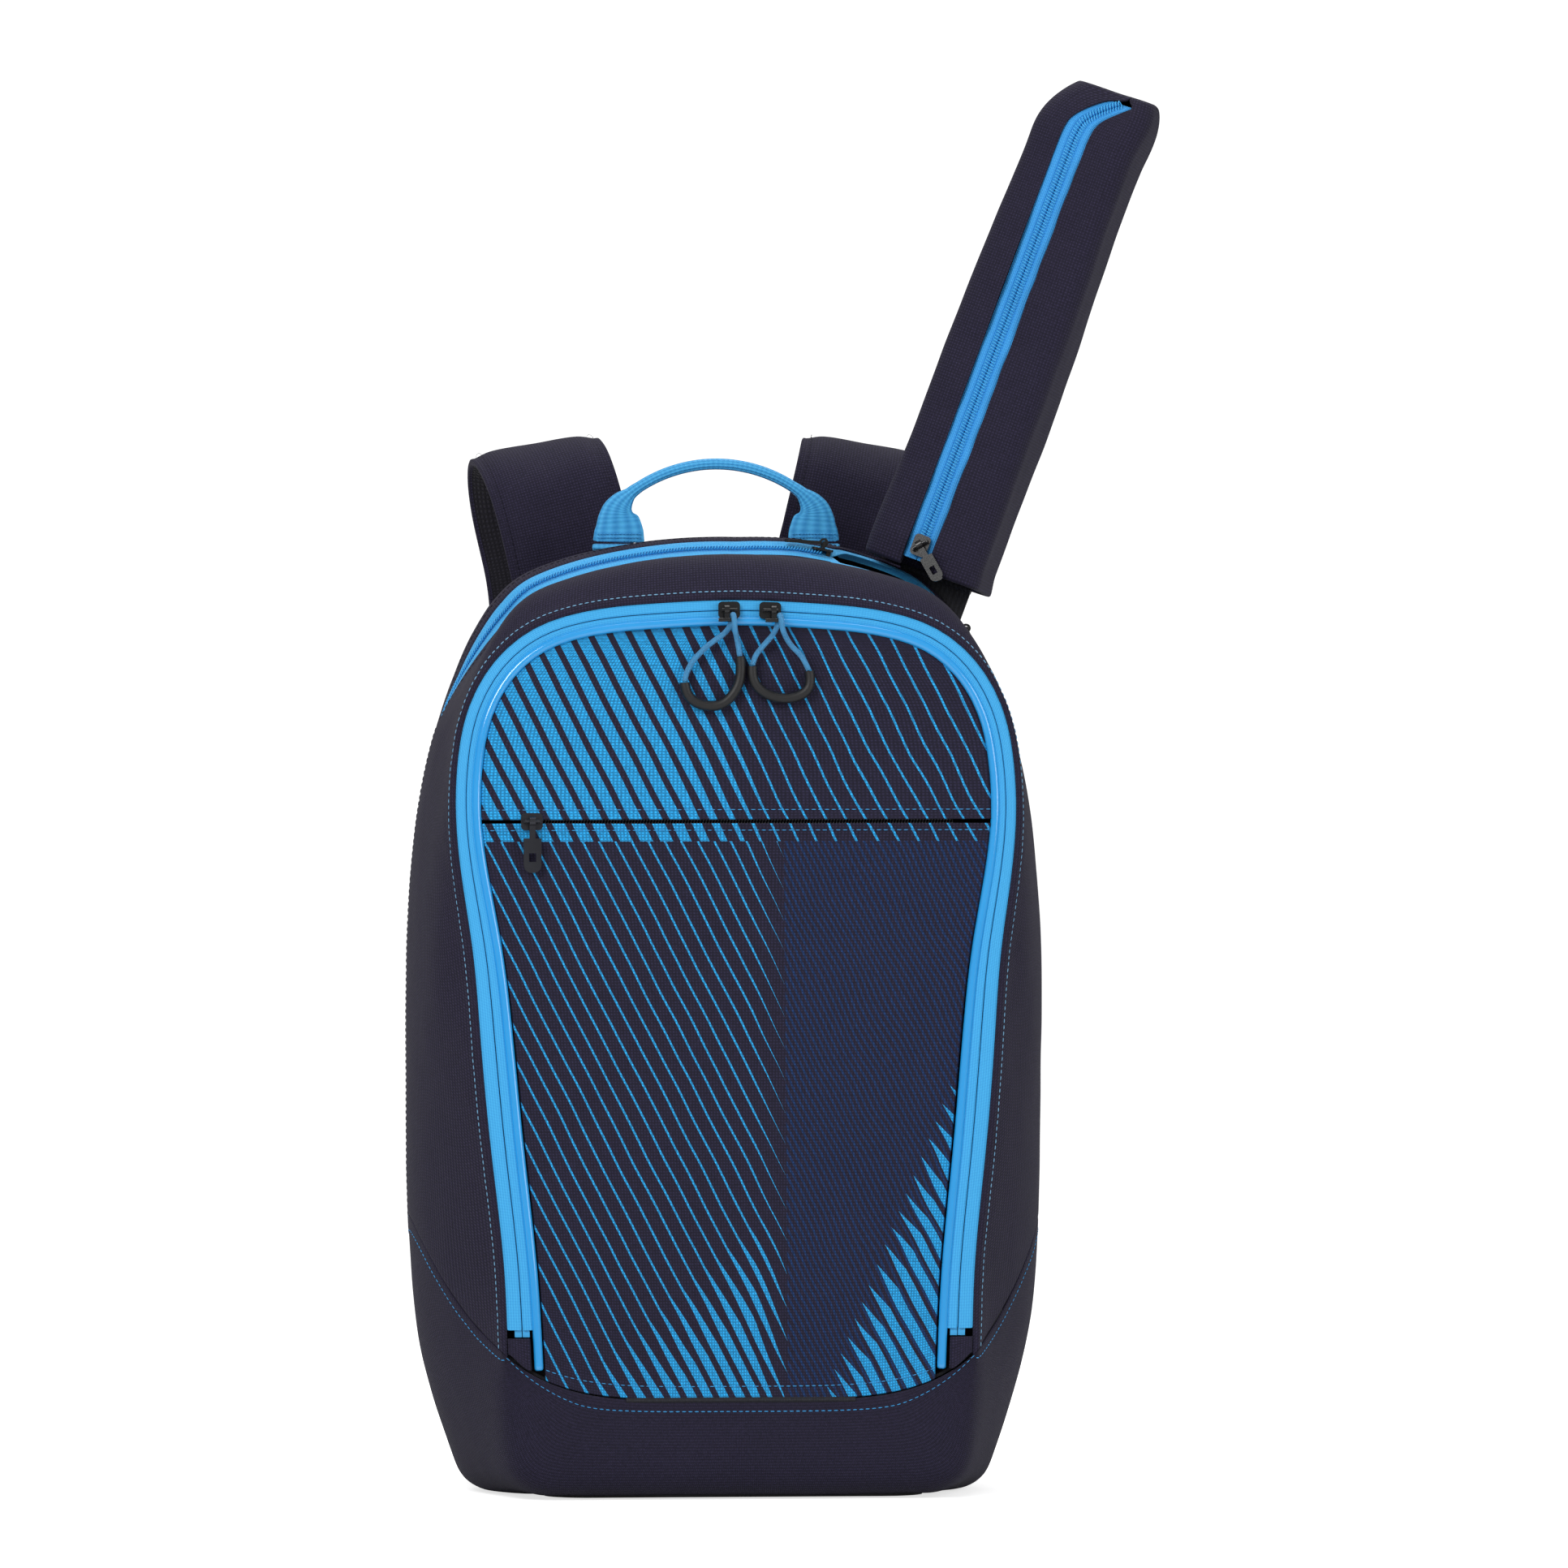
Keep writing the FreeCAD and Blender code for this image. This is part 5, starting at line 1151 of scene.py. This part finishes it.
# ---- hood ---------------------------------------------------------------------------------
def hood_axes():
    """The hood's own right, back and up directions."""
    lean, turn = math.radians(hood_lean), math.radians(hood_turn)
    up = np.array([math.sin(lean), 0, math.cos(lean)])
    right = np.array([math.cos(lean), 0, -math.sin(lean)])
    back = np.array(backwards)
    return right * math.cos(turn) - back * math.sin(turn), back * math.cos(turn) + right * math.sin(turn), up


hood_right, hood_back, hood_up = hood_axes()
hood_zip_x, hood_zip_top = -3.0, 258.0


def hood_world(points):
    """Points of the hood's own frame, placed on the bag."""
    points = np.asarray(points, float)
    return (np.array(hood_base) + points[..., :1] * hood_right + points[..., 1:2] * hood_back
            + points[..., 2:3] * hood_up)


def hood_size(height):
    """Width, depth and sideways shift of the hood at a height."""
    if height < hood_shoulder:
        share = height / hood_shoulder
        return 60 + (53 - 60) * share, 50 + (45 - 50) * share, 0.0
    share = (height - hood_shoulder) / (hood_length - hood_shoulder)
    return 53 - 13 * share ** 3.0, 45 - 17 * share ** 2.2, 6.0 * share ** 1.5


def hood_zip_at(height):
    """Sideways place of the hood's zip: straight, then curling over towards the pinched corner."""
    return hood_zip_x + 13.0 * min(1.0, max(0.0, (height - 241.0) / 18.0)) ** 1.5


def hood_ring(height, inset=0.0):
    """Section of the hood from the zip's left edge round the back to the zip's right edge."""
    width, depth, shift = hood_size(height)
    half_x, half_y = width / 2 - inset, depth / 2 - inset
    half_zip = main_zip_width / 2 + 0.2
    closing = min(1.0, max(0.0, (height - hood_zip_top) / 2.0))
    gap = half_zip * (1 - closing)
    zip_x = hood_zip_at(height)
    corner = 8.0
    points = [(zip_x - gap, -half_y)]
    for cx, cy, start in ((-half_x + corner, -half_y + corner, 270), (-half_x + corner, half_y - corner, 180),
                          (half_x - corner, half_y - corner, 90), (half_x - corner, -half_y + corner, 0)):
        for k in range(6):
            angle = math.radians(start - 18 * k)
            points.append((cx + corner * math.cos(angle), cy + corner * math.sin(angle)))
    points.append((zip_x + gap, -half_y))
    bend = (1,) * 5
    counts = (26, *bend, 24, *bend, 26, *bend, 24, *bend, 16)
    ring = []
    for (a, b), parts in zip(zip(points, points[1:]), counts):
        ring += [(a[0] + (b[0] - a[0]) * k / parts + shift, a[1] + (b[1] - a[1]) * k / parts, height)
                 for k in range(parts)]
    ring.append((points[-1][0] + shift, points[-1][1], height))
    return ring


def hood_piece():
    """Leaning cloth hood with gathers beside its zip, a capped top and piped seams."""
    heights = [0.6, 1.5, 4] + list(np.arange(7, 252, 3.0)) + [252, 255, 257.5, 259.5, 261, 262]
    rings = np.array([hood_ring(h) for h in heights])
    inner = np.array(hood_ring(0.6, 1.6))
    tuck = np.array(hood_ring(6.0, 2.0))
    top = rings[-1]
    cap = []
    for share in (0.25, 0.5, 0.75, 0.92):
        row = top.copy()
        row[:, 1] *= 1 - share
        row[:, 2] = hood_length + 0.6 * math.sin(share * 1.5)
        cap.append(row)
    local = np.concatenate([[tuck, inner], rings, cap])
    grid = hood_world(local)
    normals = normals_of(grid)
    slack = softness(grid, 1.7, 0.35, seed=4.0)
    x, y, h = local[..., 0], local[..., 1], local[..., 2]
    front = np.exp(-((y + 24) / 6) ** 2)
    near_zip = np.exp(-((np.abs(x - hood_zip_x) - 11) / 6) ** 2) * front
    gathers = np.array([[noise.noise(Vector((b / 13, a / 30, 1.7))) for a, b in zip(row_x, row_h)]
                        for row_x, row_h in zip(x, h)])
    corners = np.exp(-((np.abs(np.abs(x) - 29) + np.abs(np.abs(y) - 24)) / 5) ** 2)
    height = slack - 2.1 * near_zip * (0.35 + gathers) + 0.9 * corners
    edge = np.clip(np.minimum(h, hood_length + 8 - h) / 10, 0.1, 1)
    grid = grid + normals * (height * edge)[..., None]
    made = grid_piece("hood_cloth", grid, stuff["polyester"], "hood", thickness=1.4)
    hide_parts("hood_shell")
    for column, name in ((1, "left"), (-2, "right")):
        line, outs = grid[6:-14, column], normals[6:-14, column]
        stitches("hood_zip_stitch_" + name, line + outs * 0.1, outs, stuff["polyester"], "hood", radius=0.25)
    for column in (28, 86):
        line, outs = grid[3:-4, column], normals[3:-4, column]
        made = sweep(f"hood_seam_{column}", line + outs * 0.3, outs, round_section(0.9, 8),
                     stuff["polyester"], "hood")


def hood_zip():
    """Tapes and coils up the hood's front."""
    heights = np.concatenate([np.arange(4.0, 226.0, 1.4), np.arange(226.0, 258.5, 1.0)])
    for side, name in side_names.items():
        rows = []
        for reach, out in ((0.0, -1.3), (0.2, -0.7), (2.9, -0.6), (3.5, 0.3), (5.5, 0.3), (7.3, -0.5)):
            aside = side * (0.12 + reach)
            rows.append([(hood_zip_at(h) + hood_size(h)[2] + aside, -hood_size(h)[1] / 2 - out + 0.3, h)
                         for h in heights])
        made = grid_piece("hood_tape_" + name, hood_world(rows)[::side], stuff["bright_tape"], "hood")
        if side < 0:
            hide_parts("hood_zip_tape")
    heights = np.linspace(9.5, 257.5, 220)
    line = hood_world([(hood_zip_at(h) + hood_size(h)[2], -hood_size(h)[1] / 2 + 0.4, h) for h in heights])
    outs = facing(-hood_back, len(heights))
    for side, name in side_names.items():
        made = coil_rows("hood_coil_" + name, line, outs, side, stuff["coil_nylon"], "hood")
        if side < 0:
            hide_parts("hood_zip_coil")


# ---- handle, straps and pads --------------------------------------------------------------
handle_y, handle_foot_x = 36.0, 50.0
handle_foot_z = node_box("handle_anchors")[1][2] - 2.0
neck_z, crest_z, neck_x = handle_foot_z + 26.0, handle_foot_z + 42.5, 46.0


def handle():
    """Haul handle: webbing that is flat at its feet and folded round at the grip, with its anchors."""
    climb = crest_z - neck_z
    bow_radius = (neck_x ** 2 + climb ** 2) / (2 * climb)
    bow_angle = math.asin(neck_x / bow_radius)
    bow = [(bow_radius * math.sin(a), handle_y, crest_z - bow_radius * (1 - math.cos(a)))
           for a in np.linspace(-bow_angle, bow_angle, 70)]
    foot = [(-handle_foot_x, handle_y, handle_foot_z + 28 * s) for s in np.linspace(0.09, 0.8, 14)]
    left = cubic([foot[0], foot[6], foot[11], bow[3]], [8, 8, 8])
    path = even(np.concatenate([left, bow[4:-4], (left * [-1, 1, 1])[::-1]]), 150)
    run = run_along(path)
    near = np.minimum(run, run[-1] - run)
    width = np.interp(near, [0, 6, 13, 20, 27, 33], [13.5, 12.8, 10.6, 6.6, 3.4, 2.9])
    thick = np.interp(near, [0, 10, 20, 30], [1.0, 1.2, 2.0, 2.7])
    made = sweep("haul_handle_webbing", path, facing(forwards, len(path)), round_section(1.0, 20),
                 stuff["blue_webbing"], "haul_handle", scales=np.stack([width, thick], axis=1), smooth=1)
    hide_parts("haul_handle")
    for side in (-1, 1):
        x = side * handle_foot_x
        roll = [(x + s * 13.5, handle_y, handle_foot_z) for s in np.linspace(-1, 1, 14)]
        tube = sweep("handle_roll_" + side_names[side], roll, facing((0.0, 0.0, 1.0), len(roll)),
                     round_section(1.9, 14), stuff["blue_webbing"], "root", smooth=1)
        if side < 0:
            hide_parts("handle_anchors")
        patch = []
        for depth in np.linspace(-5.8, 5.8, 9):
            puff = 0.9 if abs(depth) < 5 else 0.1
            patch.append([(x + s, handle_y + depth, arch_height(x + s) + puff)
                          for s in np.linspace(-13.5, 13.5, 18)])
        flat = grid_piece("handle_patch_" + side_names[side], np.array(patch), stuff["blue_webbing"], "root")
        for row, z in enumerate((3.2, 5.0, 6.8)):
            bar = [(x + s * 11.5, handle_y - 1.5, handle_foot_z + z) for s in (-1, -0.5, 0, 0.5, 1)]
            stitches(f"handle_bartack_{side_names[side]}_{row}", np.array(bar), facing(forwards, len(bar)),
                     stuff["blue_thread"], "haul_handle", pitch=1.6, share=0.85)


def arch_height(x):
    """Height of the bag's crown at x."""
    line = outline(main_arch.points())
    upper = line[line[:, 1] > main_arch.spring]
    return float(np.interp(x, upper[:, 0], upper[:, 1]))


strap_seam = np.array([-66.0, back_y + 2.0 + 2.5 + 0.3, body_top - 22.0])
strap_steps = [(-1, 0.6, 3.5, 15, 1.0, 0.35), (-7, 1.2, 30, 15, 1.0, 0.8), (-13, 7, 53, 14, 1.0, 1.0),
               (-18, 26, 66.5, 11, 1.0, 1.0), (-20, 50, 63.5, 7, 1.0, 1.0), (-17, 68, 42, 0, 1.0, 1.0),
               (-9, 74, 7, -3, 1.0, 1.0), (-7, 73, -53, 0, 1.0, 1.0), (-14, 66, -123, 4, 0.96, 1.0),
               (-29, 56, -193, 5, 0.88, 1.0), (-41, 49, -241, 0, 0.82, 0.8)]
strap_section = ([(u, 0.5 - 0.5 * abs(u) ** 6) for u in np.linspace(-0.94, 0.94, 19)]
                 + [(0.985, 0.22), (1.0, 0.0), (0.985, -0.22)]
                 + [(u, -0.5 + 0.5 * abs(u) ** 6) for u in np.linspace(0.94, -0.94, 19)]
                 + [(-0.985, -0.22), (-1.0, 0.0), (-0.985, 0.22)])


def strap(side):
    """Padded shoulder strap with mesh on the inside, two rows of stitches and its webbing loop."""
    places = [strap_seam + np.array(step[:3]) for step in strap_steps]
    parts = [12] * (len(places) - 1)
    path = cubic(places, parts)
    sizes = np.array([(lean, 66.0 * wide, 10.0 * thick) for *_, lean, wide, thick in strap_steps])
    at = np.linspace(0, len(places) - 1, len(path))
    lean, width, thick = [np.interp(at, np.arange(len(places)), sizes[:, k]) for k in range(3)]
    tangents = unit(np.gradient(path, axis=0))
    across = np.stack([np.cos(np.radians(lean)), np.zeros(len(path)), np.sin(np.radians(lean))], axis=1)
    across = unit(across - tangents * (across * tangents).sum(axis=1, keepdims=True))
    inner = np.cross(tangents, across)
    grid = []
    for k in range(len(path)):
        row = []
        for u, n in strap_section:
            channel = 1 - 0.16 * math.exp(-((abs(u) - 0.86) / 0.05) ** 2)
            wave = 0.5 * noise.noise(Vector((k / 7, u * 2.2, 3.1 * n))) * min(1, k / 8)
            depth = n * thick[k] * channel + wave * 0.8
            row.append(path[k] + across[k] * (u * width[k] / 2) + inner[k] * depth)
        grid.append(row)
    grid = with_closed_ends(np.array(grid))
    mirror = np.array([-side, 1, 1])
    if side > 0:
        grid = (grid * mirror)[:, ::-1]
    name = "shoulder_strap_" + side_names[side]
    made = grid_piece(name + "_pad", grid, stuff["polyester"], name, closed=True)
    made.data.materials.append(stuff["spacer_mesh"])
    # the face on the wearer's side is spacer mesh
    columns = grid.shape[1]
    mesh_columns = [j if side < 0 else columns - 2 - j for j in range(18)]
    for index, face in enumerate(made.data.polygons):
        face.material_index = int(index % columns in mesh_columns)
    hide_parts(name)
    for edge_name, u in (("outer", -0.86), ("inner", 0.86)):
        line = path + across * (u * width / 2)[:, None] - inner * (thick * 0.42)[:, None]
        stitches(f"{name}_stitch_{edge_name}", line[3:] * mirror, -inner[3:] * mirror, stuff["polyester"],
                 name, radius=0.28)
    loop, loop_outs = strap_end(path[-1])
    made = sweep(name + "_loop", loop * mirror, loop_outs * mirror, flat_section(25.0, 1.6),
                 stuff["black_webbing"], name)


def strap_end(end):
    """Short webbing loop from the left strap's end round the ladder lock's top bar."""
    points, outs = [], []
    for k in range(13):
        angle = math.pi * k / 12
        points.append((end[0], end[1] + 3.0 * math.cos(angle), end[2] - 9.0 - 3.0 * math.sin(angle)))
        outs.append((0, math.cos(angle), -math.sin(angle)))
    points = [(end[0], end[1] + 3.0, end[2] + 6)] + points + [(end[0], end[1] - 3.0, end[2] + 6)]
    outs = [(0, 1, 0)] + outs + [(0, -1, 0)]
    return np.array(points), np.array(outs)


def webbing(side):
    """Lower webbing from the base anchor round the lock's middle bar and down again as a free tail."""
    end = strap_seam + np.array(strap_steps[-1][:3])
    bar = end - [0, 0, 9.0 + 11.0]
    middle = 1.9 + 0.3 + 0.8     # the bar's radius, a gap and half the webbing's thickness
    anchor_y, anchor_z = back_y + 5.0, 58.0
    points = [(bar[0], anchor_y, anchor_z),
              (bar[0], anchor_y + 0.35 * (bar[1] - anchor_y), anchor_z + 0.4 * (bar[2] - anchor_z)),
              (bar[0], bar[1] - middle - 1.0, bar[2] - 22)]
    points += [(bar[0], bar[1] - middle * math.cos(a), bar[2] + middle * math.sin(a))
               for a in np.linspace(0, math.pi, 9)]
    points += [(bar[0], bar[1] + middle + 0.2 * k, bar[2] - 105.0 * k / 8) for k in range(1, 9)]
    path = even(cubic(points, [6] * (len(points) - 1)), 160)
    along = np.gradient(path, axis=0)
    normals = np.stack([np.zeros(len(path)), -along[:, 2], along[:, 1]], axis=1)
    mirror = np.array([-side, 1, 1])
    name = side_names[side]
    made = sweep("lower_webbing_" + name + "_band", path * mirror, normals * mirror, flat_section(25.0, 1.5),
                 stuff["black_webbing"], "root")
    # off the carcass again: the band bends between the base and the strap
    made.parent = None
    del made["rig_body"]
    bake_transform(made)
    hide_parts("lower_webbing_" + name)


def pad_block(name, x0, x1, z0, z1):
    """Foam pad under spacer mesh: crowned in the middle, pinched to a flat welt at the edge."""
    columns, rows = 34, 70
    grid = []
    for v in np.linspace(-1, 1, rows):
        row = []
        for u in np.linspace(-1, 1, columns):
            corner = 1 - 0.1 * abs(u) ** 6 * abs(v) ** 6
            x = (x0 + x1) / 2 + u * (x1 - x0) / 2 * corner
            z = (z0 + z1) / 2 + v * (z1 - z0) / 2 * corner
            rise = (1 - abs(u) ** 4) ** 0.6 * (1 - abs(v) ** 10) ** 0.6
            channel = 1 - 0.35 * math.exp(-((abs(math.fmod(z - z0 + 400, 48.0)) - 24) / 3.5) ** 2)
            row.append((x, back_y + 0.6 + 8.2 * rise * channel, z))
        grid.append(row)
    grid = np.array(grid)[:, ::-1]
    made = grid_piece(name + "_foam", grid, stuff["spacer_mesh"], "root")
    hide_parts(name)
    return made


def back_pads():
    """Three foam pads on the back."""
    pad_block("back_pad_left", -98.0, -18.0, 128.0, body_top - 66)
    pad_block("back_pad_right", 18.0, 98.0, 128.0, body_top - 66)
    pad_block("lumbar_pad", -86.0, 86.0, 62.0, 118.0)


def yoke():
    """Bound panel over the strap ends."""
    edge = outline(main_arch.points(12.0))
    half = len(edge) // 2
    rows = []
    columns, low = 70, body_top - 56.0
    for k in range(1, half):
        left, right = edge[half - k], edge[half + k]
        z = max(left[1], low)
        x = left[0] + (right[0] - left[0]) * np.linspace(0, 1, columns)
        rows.append(np.stack([x, np.full(columns, back_y + 1.6), np.full(columns, z)], axis=1))
        if z == low:
            break
    made = grid_piece("yoke_cloth", np.array(rows), stuff["polyester"], "root", thickness=1.2)
    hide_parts("yoke")
    # rolled seams that hold the strap ends, 62 mm long and sloping with them
    slope, half_length = 0.262, 31.0
    for side, side_name in side_names.items():
        roll = [(side * (66 - s * half_length * math.cos(slope)), strap_seam[1],
                 strap_seam[2] + s * half_length * math.sin(slope)) for s in np.linspace(-1, 1, 12)]
        tube = sweep("strap_seam_roll_" + side_name, roll, facing(backwards, len(roll)),
                     round_section(2.3, 12), stuff["polyester"], "root")


def base_anchors():
    """Cloth tabs that hold the lower webbing at the base."""
    for side in (-1, 1):
        x = side * 107.0
        rows = []
        for z in np.linspace(44.5, 71.5, 12):
            rows.append([(x + s * 15.0, back_y + 0.8 + 3.0 * (1 - abs(s) ** 6), z)
                         for s in np.linspace(1, -1, 16)])
        made = grid_piece("base_anchor_" + side_names[side], np.array(rows), stuff["polyester"], "root",
                          thickness=0.8)
        if side < 0:
            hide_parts("strap_anchors")


# ---- CAD pieces that stay -----------------------------------------------------------------
kept = {
    "painted_metal": ("main_slider_left", "main_slider_right", "main_pull_left", "main_pull_right",
                      "front_slider_left", "front_slider_right", "front_tab_left", "front_tab_right",
                      "hood_slider", "hood_pull"),
    "dark_nickel": ("stash_slider", "stash_pull"),
    "black_acetal": ("ladder_lock_left", "ladder_lock_right", "base_panel"),
    "coil_nylon": ("front_zip_coil_outer", "front_zip_coil_inner"),
    "fibre_board": ("base_board", "frame_sheet"),
    "lining": ("racket_divider", "pocket_wall", "stash_pouch", "boot_seam_roll", "hood_flange"),
}


def dress_kept():
    """Gives the CAD pieces that stay their finish and slightly worn edges."""
    for finish_name, names in kept.items():
        for name in names:
            node = frame["nodes"][name]
            node.data.materials.clear()
            node.data.materials.append(stuff[finish_name])
            softened = node.modifiers.new("worn edges", "BEVEL")
            softened.width, softened.segments, softened.limit_method = 0.25 * MM, 2, "ANGLE"
            softened.angle_limit = math.radians(40)


camera()
cords()
studio()
ground()
band_piece()
rear_gusset_piece()
boot_piece()
back_piece()
printed_panels()
front_zip()
piping()
garages()
main_zip()
stash_zip()
hood_piece()
hood_zip()
handle()
for side in (-1, 1):
    strap(side)
    webbing(side)
back_pads()
yoke()
base_anchors()
dress_kept()
